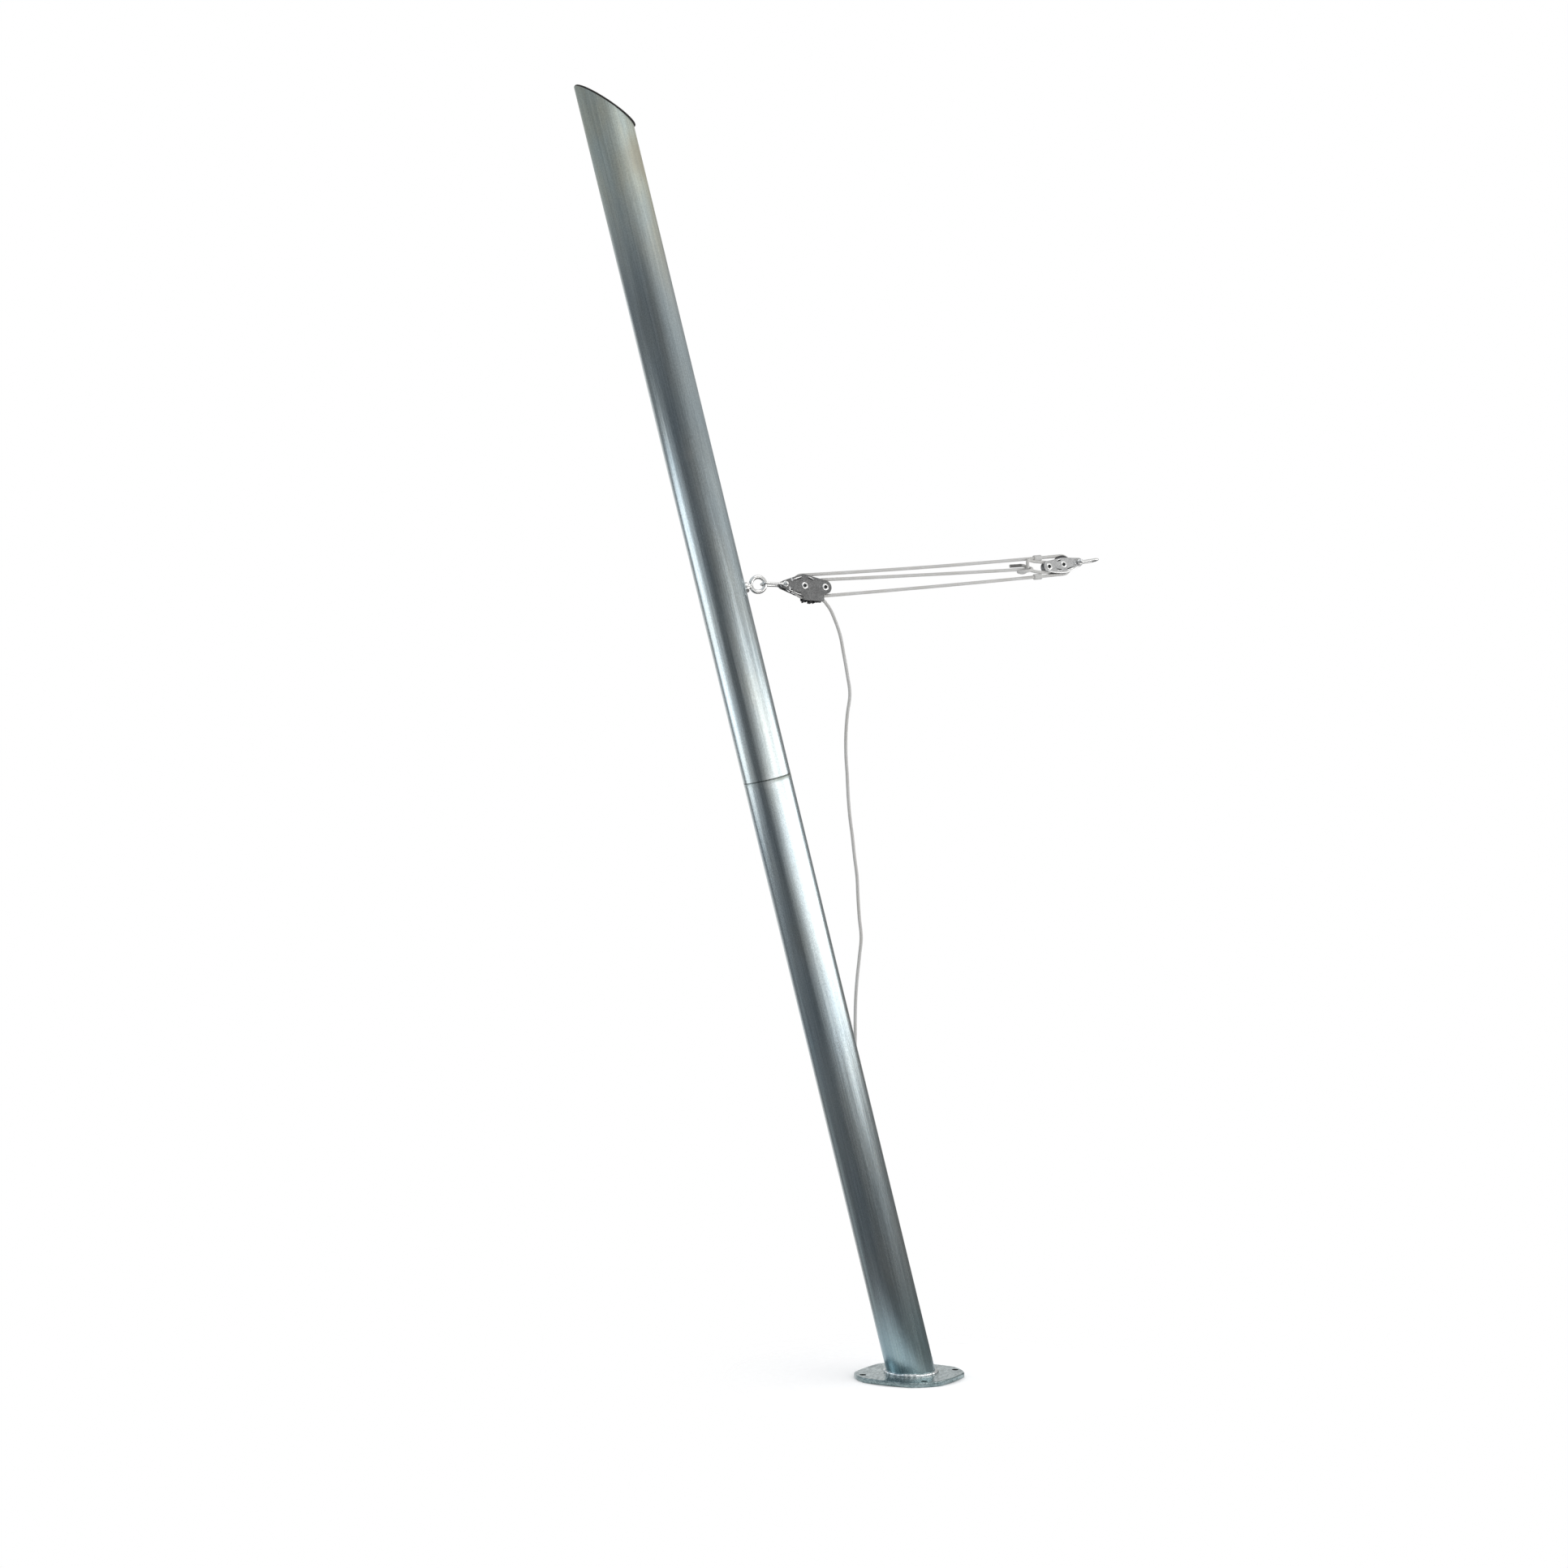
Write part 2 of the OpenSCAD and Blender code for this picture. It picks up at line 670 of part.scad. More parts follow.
module small_turn() {
    color([0.78, 0.79, 0.79]) rope_turn(small_centre, small_radius, 90 + middle_angle, 270 + bottom_angle);
}

module far_turn() {
    color([0.78, 0.79, 0.79]) rope_turn(far_centre, far_radius, bottom_angle - 90, 90 + top_angle);
}

// Straight run from the large sheave, over the jam's teeth, to the edge of the cheeks.
module jam_run() {
    color([0.78, 0.79, 0.79]) jam_frame() rotate([0, 90, 0])
        cylinder(r = rope_r, h = span(jam_from, jam_exit) - rope_r - 1.5 * seat_gap);
}

module becket_knot() {
    color([0.72, 0.73, 0.73]) {
        knot_shape();
        on_tackle(stub_foot, 180 - stub_rise) rotate([0, 90, 0])
            cylinder(r = rope_r, h = knot_half_length + stub_length);
    }
}

// The loop's two legs run from the knot to the becket's tangents.
module becket_legs() {
    color([0.78, 0.79, 0.79]) difference() {
        for (side = [-1, 1]) {
            start = knot_centre + [0, side * leg_spread];
            angle = tangent(start, 0, becket_centre, becket_radius, side);
            strand(start, angle, sqrt(pow(span(start, becket_centre), 2) - pow(becket_radius, 2)));
        }
        knot_shape();
    }
}

module becket_turn() {
    upper = tangent(knot_centre + [0, leg_spread], 0, becket_centre, becket_radius, 1);
    lower = tangent(knot_centre - [0, leg_spread], 0, becket_centre, becket_radius, -1);
    color([0.78, 0.79, 0.79]) rope_turn(becket_centre, becket_radius, lower - 90, 90 + upper);
}

// Whipping round a strand, d before the end of the strand at the second block.
module whipping(to, angle, d) {
    on_tackle(to, 180 + angle) rotate([0, 90, 0]) translate([0, 0, d]) difference() {
        cylinder(r = rope_r + whipping_wall, h = whipping_length);
        translate([0, 0, -past]) cylinder(r = rope_r + fixed_fit, h = whipping_length + 2 * past);
    }
}

module top_whipping() {
    color([0.70, 0.71, 0.71]) whipping(top_to, top_angle, top_whipping_place);
}

module bottom_whipping() {
    color([0.70, 0.71, 0.71]) whipping(bottom_to, bottom_angle, bottom_whipping_place);
}

// A smooth curve through the points, and the rings of a tube swept along it.
function pick(p, i) = p[max(0, min(len(p) - 1, i))];
function blend(a, b, c, d, t) = 0.5 * (2 * b + (c - a) * t + (2 * a - 5 * b + 4 * c - d) * t * t
                                       + (3 * b - a - 3 * c + d) * t * t * t);
function along(p, u) = let (i = min(floor(u), len(p) - 2))
    blend(pick(p, i - 1), pick(p, i), pick(p, i + 1), pick(p, i + 2), u - i);
function unit(v) = v / norm(v);
function across(v) = unit(cross(v, [0, 1, 0.001]));

module swept_rope(points, rings, sides, r) {
    last = len(points) - 1;
    centres = [for (i = [0:rings]) along(points, last * i / rings)];
    ways = [for (i = [0:rings]) unit(centres[min(i + 1, rings)] - centres[max(i - 1, 0)])];
    corners = [for (i = [0:rings]) let (a = across(ways[i]), b = cross(ways[i], a))
        for (j = [0:sides - 1]) centres[i] + r * (cos(360 * j / sides) * a + sin(360 * j / sides) * b)];
    walls = [for (i = [0:rings - 1]) for (j = [0:sides - 1]) let (k = (j + 1) % sides)
        [i * sides + j, i * sides + k, (i + 1) * sides + k, (i + 1) * sides + j]];
    polyhedron(corners, concat(walls, [[for (j = [sides - 1:-1:0]) j]],
                               [[for (j = [0:sides - 1]) rings * sides + j]]));
}

module tail_rope() {
    color([0.78, 0.79, 0.79]) swept_rope(tail_points, tail_rings, tail_sides, rope_r);
}

base_plate();
base_weld();
lower_tube();
joint_sleeve();
upper_tube();
top_cap();
ring_eye();
eye_nut();
first_shackle();
first_shackle_pin();
first_near_cheek();
first_far_cheek();
first_head_bush();
first_spacers();
jam_teeth();
large_axle();
small_axle();
large_sheave();
small_sheave();
top_strand();
middle_strand();
bottom_strand();
large_turn();
small_turn();
far_turn();
jam_run();
becket_knot();
becket_legs();
becket_turn();
top_whipping();
bottom_whipping();
second_near_cheek();
second_far_cheek();
second_head_bush();
second_spacers();
becket_axle();
far_axle();
far_sheave();
second_shackle();
second_shackle_pin();
tail_rope();
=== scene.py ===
"""Looks for the shade sail mast: rope, fittings, weld, materials, studio and camera round the model."""

import json
from math import asin, atan2, copysign, cos, pi, radians, sin, tan

import bmesh
import bpy
import numpy as np
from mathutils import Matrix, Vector

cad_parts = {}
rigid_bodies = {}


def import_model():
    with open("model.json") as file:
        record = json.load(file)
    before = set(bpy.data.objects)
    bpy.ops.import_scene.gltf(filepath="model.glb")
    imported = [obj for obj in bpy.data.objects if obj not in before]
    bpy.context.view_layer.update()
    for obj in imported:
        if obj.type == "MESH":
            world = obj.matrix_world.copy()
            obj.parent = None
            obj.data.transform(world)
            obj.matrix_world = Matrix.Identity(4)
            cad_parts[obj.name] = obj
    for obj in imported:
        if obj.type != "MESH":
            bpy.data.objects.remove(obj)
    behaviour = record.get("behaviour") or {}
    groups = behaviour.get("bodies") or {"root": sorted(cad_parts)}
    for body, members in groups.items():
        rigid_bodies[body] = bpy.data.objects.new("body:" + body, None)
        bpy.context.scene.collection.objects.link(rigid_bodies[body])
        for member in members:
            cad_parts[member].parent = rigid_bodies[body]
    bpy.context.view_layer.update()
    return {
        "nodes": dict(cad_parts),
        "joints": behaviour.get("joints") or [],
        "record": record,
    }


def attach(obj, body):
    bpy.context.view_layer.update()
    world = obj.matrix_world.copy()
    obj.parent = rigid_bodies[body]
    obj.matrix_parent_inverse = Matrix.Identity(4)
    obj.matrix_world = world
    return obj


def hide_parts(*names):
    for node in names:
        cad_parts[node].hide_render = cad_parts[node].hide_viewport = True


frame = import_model()

MM = 0.001
SCENE = bpy.context.scene
JOINTS = {j["name"]: j for j in frame["joints"]}
TURN = 2 * pi
QUARTER = TURN / 4

# Directions and sizes that repeat the part's own, in radians and millimetres.
LEAN = radians(14.1)
FOOT_OFFSET = 8.0
TACKLE_YAW, TACKLE_PITCH = radians(11.3), radians(3.2)
SHACKLE_DROOP = radians(4.6)
TUBE_R, TUBE_WALL = 57.15, 3.6
JOINT_HEIGHT, MAST_LENGTH, CUT = 1480.0, 3088.0, radians(46)
PLATE_T, PLATE_CORNER, PLATE_SIDE, PLATE_SIDE_R = 12.0, 132.0, 121.0, 500.0
BOLT_CIRCLE_R, BOLT_HOLE_R = 116.0, 8.0
WELD_LEG = 6.4
EYE_HEIGHT, EYE_STAND, RING_R, RING_BAR_R = 1929.0, 32.5, 17.5, 5.0
ROPE_R = 4.0
CHEEK_IN, CHEEK_OUT = 7.0, 9.0
LARGE_R, SMALL_R, FAR_R = 27.0, 19.5, 23.0
BECKET_BACK, BECKET_R = 42.0, 12.0
AXLE_BORE_R, AXLE_R, AXLE_LIP_R = 4.25, 6.5, 8.2
BECKET_BODY_R = 7.7
PIN_R, PIN_HOLE_R = 3.0, 3.35
BOW_R, ROD_R, EAR_R, EAR_T = 12.5, 3.0, 7.0, 5.0
FIRST_SHACKLE_LENGTH, SECOND_SHACKLE_LENGTH = 47.5, 48.0

# How finely curves are drawn.
BRAID_STEP, BRAID_SIDES = 1.05, 28


def place(name):
    return np.array(JOINTS[name]["pos_m"]) / MM


def unit(v):
    v = np.asarray(v, float)
    return v / np.linalg.norm(v)


class Axes:
    """An origin with X, Y and Z directions; called with local millimetres it gives the model's."""

    def __init__(self, origin, x, y):
        self.o, self.y = np.asarray(origin, float), unit(y)
        self.x = unit(np.asarray(x, float) - np.dot(x, self.y) * self.y)
        self.z = np.cross(self.x, self.y)

    def __call__(self, x=0.0, y=0.0, z=0.0):
        x, y, z = np.broadcast_arrays(*(np.asarray(c, float) for c in (x, y, z)))
        return self.o + x[..., None] * self.x + y[..., None] * self.y + z[..., None] * self.z

    def local(self, point):
        d = np.asarray(point, float) - self.o
        return np.array([d @ self.x, d @ self.y, d @ self.z])


ACROSS = np.array(JOINTS["tackle_swing"]["axis"])
MAST = Axes((FOOT_OFFSET, 0, 0), (cos(LEAN), 0, sin(LEAN)), (0, 1, 0))
TACKLE_WAY = (cos(TACKLE_YAW) * cos(TACKLE_PITCH), sin(TACKLE_YAW) * cos(TACKLE_PITCH), sin(TACKLE_PITCH))
TACKLE = Axes(place("tackle_slew"), TACKLE_WAY, ACROSS)
BLOCK1 = Axes(place("tackle_swing"), place("small_sheave_spin") - place("large_sheave_spin"), ACROSS)
BLOCK2 = Axes(place("far_sheave_spin"), place("far_shackle_swing") - place("far_sheave_spin"), ACROSS)
EYE = Axes(MAST(0, 0, EYE_HEIGHT), MAST.z, MAST.x)      # Y runs out of the tube
GROUND = Axes((0, 0, 0), (1, 0, 0), (0, 0, -1))         # Y runs down, so a plate lies flat in it
LARGE_X = BLOCK1.local(place("large_sheave_spin"))[0]
SMALL_X = BLOCK1.local(place("small_sheave_spin"))[0]
PIN2_X = BLOCK2.local(place("far_shackle_swing"))[0]


# --- camera

CAMERA_AT = (-2.5231, -7.8896, 1.626)       # metres
CAMERA_TILT, CAMERA_HEADING, CAMERA_LENS = radians(1.42), radians(15.66), 79.73


def add_camera():
    data = bpy.data.cameras.new("camera")
    data.sensor_width = 36
    data.lens = CAMERA_LENS
    data.clip_end = 60
    camera = bpy.data.objects.new("camera", data)
    camera.location = CAMERA_AT
    camera.rotation_euler = (QUARTER - CAMERA_TILT, 0, -CAMERA_HEADING)
    SCENE.collection.objects.link(camera)
    SCENE.camera = camera


add_camera()


# --- mesh helpers

def new_piece(name, verts, faces, body, slot, replaced=(), material=None):
    """Makes an object of points in millimetres; its material is its slot's unless another is named."""
    mesh = bpy.data.meshes.new(name)
    mesh.from_pydata((np.asarray(verts, float) * MM).tolist(), [], [tuple(int(i) for i in f) for f in faces])
    mesh.validate()
    mesh.materials.append(SLOTS[material or slot])
    mesh.shade_smooth()
    piece = bpy.data.objects.new(name, mesh)
    SCENE.collection.objects.link(piece)
    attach(piece, body)
    if replaced:
        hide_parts(*replaced)
    return piece


def point_values(piece, name, values):
    """Stores one number per point, which a material reads by its name."""
    attribute = piece.data.attributes.new(name, "FLOAT", "POINT")
    attribute.data.foreach_set("value", np.asarray(values, np.float32))


def grid_faces(rows, cols, start=0, closed=False):
    """Quads between rings of cols points each; closed joins the last ring to the first."""
    i, j = np.meshgrid(np.arange(rows if closed else rows - 1), np.arange(cols), indexing="ij")
    this, after, beside_j = start + i * cols, start + (i + 1) % rows * cols, (j + 1) % cols
    return np.stack([this + j, this + beside_j, after + beside_j, after + j], -1).reshape(-1, 4).tolist()


def merge(parts):
    """Points and faces of several parts as one."""
    verts, faces, at = [], [], 0
    for v, f in parts:
        verts.append(np.asarray(v, float))
        faces += [[i + at for i in face] for face in f]
        at += len(v)
    return np.concatenate(verts), faces


def full_turn(n):
    """The angles of n equal steps round a circle."""
    return TURN * np.arange(n) / n


def ray(angle):
    """The direction at an angle, or one for each angle."""
    return np.stack([np.cos(angle), np.sin(angle)], -1)


def catmull(points, steps):
    """A smooth curve through the points."""
    p = np.asarray(points, float)
    p = np.vstack([2 * p[0] - p[1], p, 2 * p[-1] - p[-2]])
    t = np.linspace(0, 1, steps, endpoint=False)[:, None]
    out = []
    for a, b, c, d in zip(p[:-3], p[1:-2], p[2:-1], p[3:]):
        out.append(0.5 * (2 * b + (c - a) * t + (2 * a - 5 * b + 4 * c - d) * t ** 2
                          + (3 * b - a - 3 * c + d) * t ** 3))
    return np.vstack(out + [p[-2][None]])


def resample(points, step):
    """Points about a step apart along the curve, and how far along each one is."""
    p = np.asarray(points, float)
    s = np.concatenate([[0], np.cumsum(np.linalg.norm(np.diff(p, axis=0), axis=1))])
    n = max(2, int(round(s[-1] / step)) + 1)
    at = np.linspace(0, s[-1], n)
    return np.stack([np.interp(at, s, p[:, k]) for k in range(3)], -1), at


def sweep_frames(p, normal=None):
    """Directions across a path that twist as little as they can."""
    t = np.gradient(p, axis=0)
    t /= np.linalg.norm(t, axis=1)[:, None]
    n = np.asarray(normal, float) if normal is not None else np.array([0.0, 1.0, 0.03])
    a = np.empty_like(p)
    for i, d in enumerate(t):
        n = n - (n @ d) * d
        n /= np.linalg.norm(n)
        a[i] = n
    return a, np.cross(t, a)


def tube(points, radius, sides, normal=None, round_end=0.0):
    """A closed tube; radius has one value per point, or one per point and side."""
    p = np.asarray(points, float)
    a, b = sweep_frames(p, normal)
    r = radius[:, None] if radius.ndim == 1 else radius
    theta = full_turn(sides)
    across = np.cos(theta)[None, :, None] * a[:, None] + np.sin(theta)[None, :, None] * b[:, None]
    verts = (p[:, None] + r[..., None] * across).reshape(-1, 3)
    faces = grid_faces(len(p), sides)
    n = len(verts)
    first = p[0] - round_end * unit(p[1] - p[0])
    last = p[-1] + round_end * unit(p[-1] - p[-2])
    faces += [[(j + 1) % sides, j, n] for j in range(sides)]
    faces += [[n - sides + j, n - sides + (j + 1) % sides, n + 1] for j in range(sides)]
    return np.vstack([verts, first, last]), faces


def lathe(axes, profile, x=0.0, z=0.0, sides=48, closed=True):
    """Turns a profile of (radius, y) about the line along Y through (x, z); a closed profile is a ring."""
    prof = np.asarray(profile, float)
    theta = full_turn(sides)
    rows = len(prof)
    r, y = prof[:, 0][:, None], prof[:, 1][:, None]
    points = axes(x + r * np.cos(theta), y, z + r * np.sin(theta)).reshape(-1, 3)
    faces = grid_faces(rows, sides, closed=closed)
    if not closed:
        faces.append(list(range(sides))[::-1])
        faces.append(list(range((rows - 1) * sides, rows * sides)))
    return points, faces


def rounded(points, radius, steps):
    """The outline with its corners rounded."""
    p = np.asarray(points, float)
    n = len(p)
    out = []
    for i in range(n):
        a, b, c = p[i - 1], p[i], p[(i + 1) % n]
        u, v = unit(a - b), unit(c - b)
        cut = min(radius, 0.45 * np.linalg.norm(a - b), 0.45 * np.linalg.norm(c - b))
        for k in range(steps + 1):
            t = k / steps
            out.append((1 - t) ** 2 * (b + cut * u) + 2 * t * (1 - t) * b + t ** 2 * (b + cut * v))
    return np.array(out)


def circle(x, y, r, n=48):
    return (x, y) + r * ray(full_turn(n))


def wrapped(circles):
    """The outline of a band round the circles (x, y, radius, points), anticlockwise."""
    p = sorted(map(tuple, np.round(np.vstack([circle(*c) for c in circles]), 6)))

    def half(items):
        line = []
        for q in items:
            while len(line) > 1 and ((line[-1][0] - line[-2][0]) * (q[1] - line[-2][1])
                                     - (line[-1][1] - line[-2][1]) * (q[0] - line[-2][0])) <= 0:
                line.pop()
            line.append(q)
        return line[:-1]
    return np.array(half(p) + half(p[::-1]))


def reach(outline, centre, angles):
    """Distance from the centre to the outline in each direction."""
    a = outline - centre
    b = np.roll(a, -1, axis=0)
    d = ray(angles)
    e = b - a
    det = d[:, None, 0] * e[None, :, 1] - d[:, None, 1] * e[None, :, 0]
    det = np.where(np.abs(det) < 1e-12, 1e-12, det)
    t = (a[None, :, 0] * e[None, :, 1] - a[None, :, 1] * e[None, :, 0]) / det
    s = (a[None, :, 0] * d[:, None, 1] - a[None, :, 1] * d[:, None, 0]) / det
    t = np.where((s >= -1e-9) & (s <= 1 + 1e-9) & (t > 0), t, 0)
    return t.max(axis=1)


def joined(one, two, centre):
    """Outline of two shapes together, both seen whole from the centre."""
    centre = np.array(centre, float)
    rel = np.concatenate([one, two]) - centre
    angles = np.unique(np.round(np.concatenate([np.arctan2(rel[:, 1], rel[:, 0]),
                                                np.linspace(-pi, pi, 360, endpoint=False)]), 5))
    r = np.maximum(reach(one, centre, angles), reach(two, centre, angles))
    return centre + r[:, None] * ray(angles)


def slot_outline(a, b, r, n=12):
    """A slot of half width r with round ends about a and b."""
    t = np.linspace(-QUARTER, QUARTER, n) + heading(a, b)
    return np.vstack([b + r * ray(t), a + r * ray(t + pi)])


# --- material helpers

def wire(tree, kind, inputs=None, **values):
    """Adds a node; inputs maps socket names or numbers to a value or to another node's output."""
    node = tree.nodes.new("ShaderNode" + kind)
    for key, value in values.items():
        setattr(node, key, value)
    for key, value in (inputs or {}).items():
        if isinstance(value, bpy.types.NodeSocket):
            tree.links.new(value, node.inputs[key])
        else:
            node.inputs[key].default_value = value
    return node


def empty_tree(owner, output):
    """The node tree of a material or a world with nothing but its output node."""
    owner.use_nodes = True
    tree = owner.node_tree
    tree.nodes.clear()
    return tree, wire(tree, output)


def new_material(name, metallic=0.0):
    material = bpy.data.materials.new(name)
    tree, out = empty_tree(material, "OutputMaterial")
    shader = wire(tree, "BsdfPrincipled", {"Metallic": metallic})
    tree.links.new(shader.outputs["BSDF"], out.inputs["Surface"])
    return material, tree, shader


def ramp(tree, source, stops):
    node = wire(tree, "ValToRGB", {"Fac": source})
    elements = node.color_ramp.elements
    while len(elements) < len(stops):
        elements.new(0.5)
    for element, (at, value) in zip(elements, stops):
        element.position = at
        element.color = (*value, 1) if hasattr(value, "__len__") else (value, value, value, 1)
    return node.outputs["Color"]


def grey(tree, source, stops):
    return wire(tree, "RGBToBW", {"Color": ramp(tree, source, stops)}).outputs[0]


def maths(tree, operation, a, b=0.0):
    return wire(tree, "Math", {0: a, 1: b}, operation=operation).outputs[0]


def product(tree, a, b):
    return maths(tree, "MULTIPLY", a, b)


def split(tree, vector):
    """The vector's X, Y and Z."""
    return wire(tree, "SeparateXYZ", {"Vector": vector}).outputs


def attribute(tree, name):
    """A piece's own number per point."""
    return wire(tree, "Attribute", attribute_name=name).outputs["Fac"]


def mix_colour(tree, factor, a, b, blend="MIX"):
    a, b = ((*c, 1) if isinstance(c, tuple) else c for c in (a, b))
    return wire(tree, "Mix", {0: factor, 6: a, 7: b}, data_type="RGBA", blend_type=blend).outputs[2]


def shaded(tree, colour, by, factor=1.0):
    """The colour multiplied by another colour, as far as the factor says."""
    return mix_colour(tree, factor, colour, by, "MULTIPLY")


def noise(tree, vector, scale, detail=4.0, rough=0.55, distortion=0.0):
    inputs = {"Vector": vector, "Scale": scale, "Detail": detail, "Roughness": rough,
              "Distortion": distortion}
    return wire(tree, "TexNoise", inputs).outputs["Fac"]


def mapped(tree, rotation=(0, 0, 0), scale=(1, 1, 1), location=(0, 0, 0)):
    """Object coordinates moved and turned, then stretched."""
    coords = wire(tree, "TexCoord")
    turned = wire(tree, "Mapping", {"Vector": coords.outputs["Object"], "Location": location,
                                    "Rotation": rotation})
    return wire(tree, "Mapping", {"Vector": turned.outputs[0], "Scale": scale}).outputs[0]


def coat(tree, shader, colour, rough):
    """Feeds the shader's colour and roughness."""
    tree.links.new(colour, shader.inputs["Base Color"])
    tree.links.new(rough, shader.inputs["Roughness"])


def bump(tree, shader, height, strength, distance):
    node = wire(tree, "Bump", {"Height": height, "Strength": strength, "Distance": distance})
    tree.links.new(node.outputs["Normal"], shader.inputs["Normal"])


def stretch(tree, source, low, high, to_low=0.0, to_high=1.0):
    """A smooth step between two values."""
    ends = {"Value": source, "From Min": low, "From Max": high, "To Min": to_low, "To Max": to_high}
    return wire(tree, "MapRange", ends, interpolation_type="SMOOTHSTEP").outputs[0]


def spot(tree, centre, inner, outer):
    """1 near the centre and 0 away from it, in metres."""
    here = wire(tree, "TexCoord").outputs["Object"]
    far = wire(tree, "VectorMath", {0: here, 1: centre}, operation="DISTANCE").outputs["Value"]
    return stretch(tree, far, inner, outer, 1.0, 0.0)


# --- materials

# Marks on the tube: middle (m), where the mark is full, where it ends, strength, colour.
STAINS = [((-0.555, -0.045, 2.19), 0.012, 0.022, 0.20, (0.72, 0.74, 0.74)),
          ((-0.36, -0.052, 1.43), 0.006, 0.028, 0.35, (0.74, 0.77, 0.78)),
          ((-0.66, -0.05, 2.88), 0.02, 0.07, 0.45, (0.52, 0.45, 0.33)),
          ((-0.62, -0.05, 2.95), 0.01, 0.05, 0.35, (0.55, 0.44, 0.32))]


def tube_zinc():
    """Drawn zinc: fine streaks along the tube, duller and warmer near the top, darker at the joint."""
    material, tree, shader = new_material("galvanised_tube", 1.0)
    along = dict(rotation=(0, LEAN, 0), location=(-FOOT_OFFSET * MM * cos(LEAN), 0, 0))
    whole = mapped(tree, **along)
    side, _, height = split(tree, whole)
    streak = noise(tree, mapped(tree, scale=(1, 1, 0.015), **along), 330, 5)
    run = noise(tree, mapped(tree, scale=(1, 1, 0.10), **along), 26, 4)
    cloud = noise(tree, mapped(tree, scale=(1, 1, 0.35), **along), 9, 5)
    grain = noise(tree, whole, 420, 3)
    speck = noise(tree, whole, 360, 3)
    colour = ramp(tree, streak, [(0.32, (0.465, 0.52, 0.54)), (0.68, (0.605, 0.66, 0.68))])
    tint = ramp(tree, cloud, [(0.34, (0.9, 0.96, 1)), (0.52, (0.98, 1, 1)), (0.66, (1, 0.985, 0.94))])
    colour = shaded(tree, colour, tint)
    colour = shaded(tree, colour, ramp(tree, run, [(0.36, 0.88), (0.6, 1.04)]))
    colour = shaded(tree, colour, ramp(tree, speck, [(0.3, 0.84), (0.7, 1.10)]))
    # the lighter, warmer and rougher top, the darker lower tube and the bluish foot, by height along the tube
    # in metres
    high = stretch(tree, height, 2.55, 3.0)
    low = stretch(tree, height, 0.75, 0.15)
    foot = stretch(tree, height, 0.30, 0.06)
    warm = ramp(tree, cloud, [(0.40, (1.25, 1.20, 1.07)), (0.62, (1.28, 1.14, 0.90))])
    colour = shaded(tree, colour, warm, product(tree, high, 0.9))
    colour = shaded(tree, colour, (0.82, 0.79, 0.76), product(tree, low, 0.8))
    colour = shaded(tree, colour, (0.70, 0.87, 0.94), foot)
    for centre, inner, outer, strength, stain in STAINS:
        colour = mix_colour(tree, product(tree, spot(tree, centre, inner, outer), strength), colour, stain)
    # the joint: a dark seam, and a painted shadow just below it on the side away from the lean, where the
    # metal is also a little rougher
    from_joint = maths(tree, "SUBTRACT", height, JOINT_HEIGHT * MM)
    seam = stretch(tree, maths(tree, "ABSOLUTE", from_joint), 0.0012, 0.0006)
    colour = mix_colour(tree, seam, colour, (0.10, 0.105, 0.10))
    under = product(tree, stretch(tree, from_joint, -0.013, -0.004), stretch(tree, from_joint, 0.0, -0.001))
    under = product(tree, under, stretch(tree, side, -0.02, 0.02, 0.15, 0.85))
    # painted shadow: the band below the joint is darkened towards this grey-green
    colour = mix_colour(tree, under, colour, (0.28, 0.31, 0.28))
    rough = grey(tree, streak, [(0.2, 0.23), (0.8, 0.29)])
    rough = maths(tree, "ADD", rough, product(tree, high, 0.30))
    coat(tree, shader, colour, maths(tree, "ADD", rough, product(tree, under, 0.2)))
    relief = maths(tree, "ADD", product(tree, run, 2.0), product(tree, grain, 0.3))
    bump(tree, shader, relief, 0.35, 0.0006)
    return material


def plate_zinc():
    """Dipped zinc with soft ripples; the holes' walls are painted near-black as shade."""
    material, tree, shader = new_material("galvanised_plate", 1.0)
    ripple = noise(tree, mapped(tree, rotation=(0, 0, 0.5), scale=(1, 0.35, 1)), 95, 3, 0.5, 1.4)
    fine = noise(tree, mapped(tree), 500, 4)
    colour = ramp(tree, ripple, [(0.35, (0.165, 0.225, 0.235)), (0.64, (0.33, 0.41, 0.42))])
    colour = shaded(tree, colour, ramp(tree, fine, [(0.3, 0.9), (0.7, 1.02)]))
    # painted shade: the hole walls that the piece marks turn near-black
    colour = mix_colour(tree, attribute(tree, "hollow_shade"), colour, (0.02, 0.022, 0.022))
    coat(tree, shader, colour, grey(tree, ripple, [(0.3, 0.30), (0.7, 0.17)]))
    bump(tree, shader, maths(tree, "ADD", ripple, product(tree, fine, 0.06)), 0.55, 0.0012)
    return material


def brushed(name, colour, rough, scale=1200, dark=0.82, strength=0.1, patches=0.0, second_block_light=0.0):
    """Grained metal; where a lightening factor is given, the colour is lightened by it towards the second
    block as painted light.
    """
    material, tree, shader = new_material(name, 1.0)
    grain = noise(tree, mapped(tree), scale, 4)
    paint = ramp(tree, grain, [(0.3, tuple(dark * c for c in colour)), (0.7, colour)])
    if second_block_light:
        # painted light: the same steel is painted paler on the second block
        along = split(tree, mapped(tree))[0]
        paint = mix_colour(tree, stretch(tree, along, 0.1, 0.3), paint, tuple(second_block_light * c for c in colour))
        paint = shaded(tree, paint, ramp(tree, grain, [(0.3, 0.72), (0.7, 1.05)]))
    if patches:
        worn = noise(tree, mapped(tree, location=(0.3, 0.1, 0.7)), 60, 3)
        paint = shaded(tree, paint, ramp(tree, worn, [(0.35, 1 - patches), (0.65, 1.0)]))
    # painted shade: the hole and slot walls and the insides of axle bores that the piece marks turn dark grey
    paint = mix_colour(tree, attribute(tree, "hollow_shade"), paint, (0.13, 0.13, 0.13))
    coat(tree, shader, paint, grey(tree, grain, [(0.25, rough * 0.8), (0.75, rough * 1.3)]))
    bump(tree, shader, grain, strength, 0.0001)
    return material


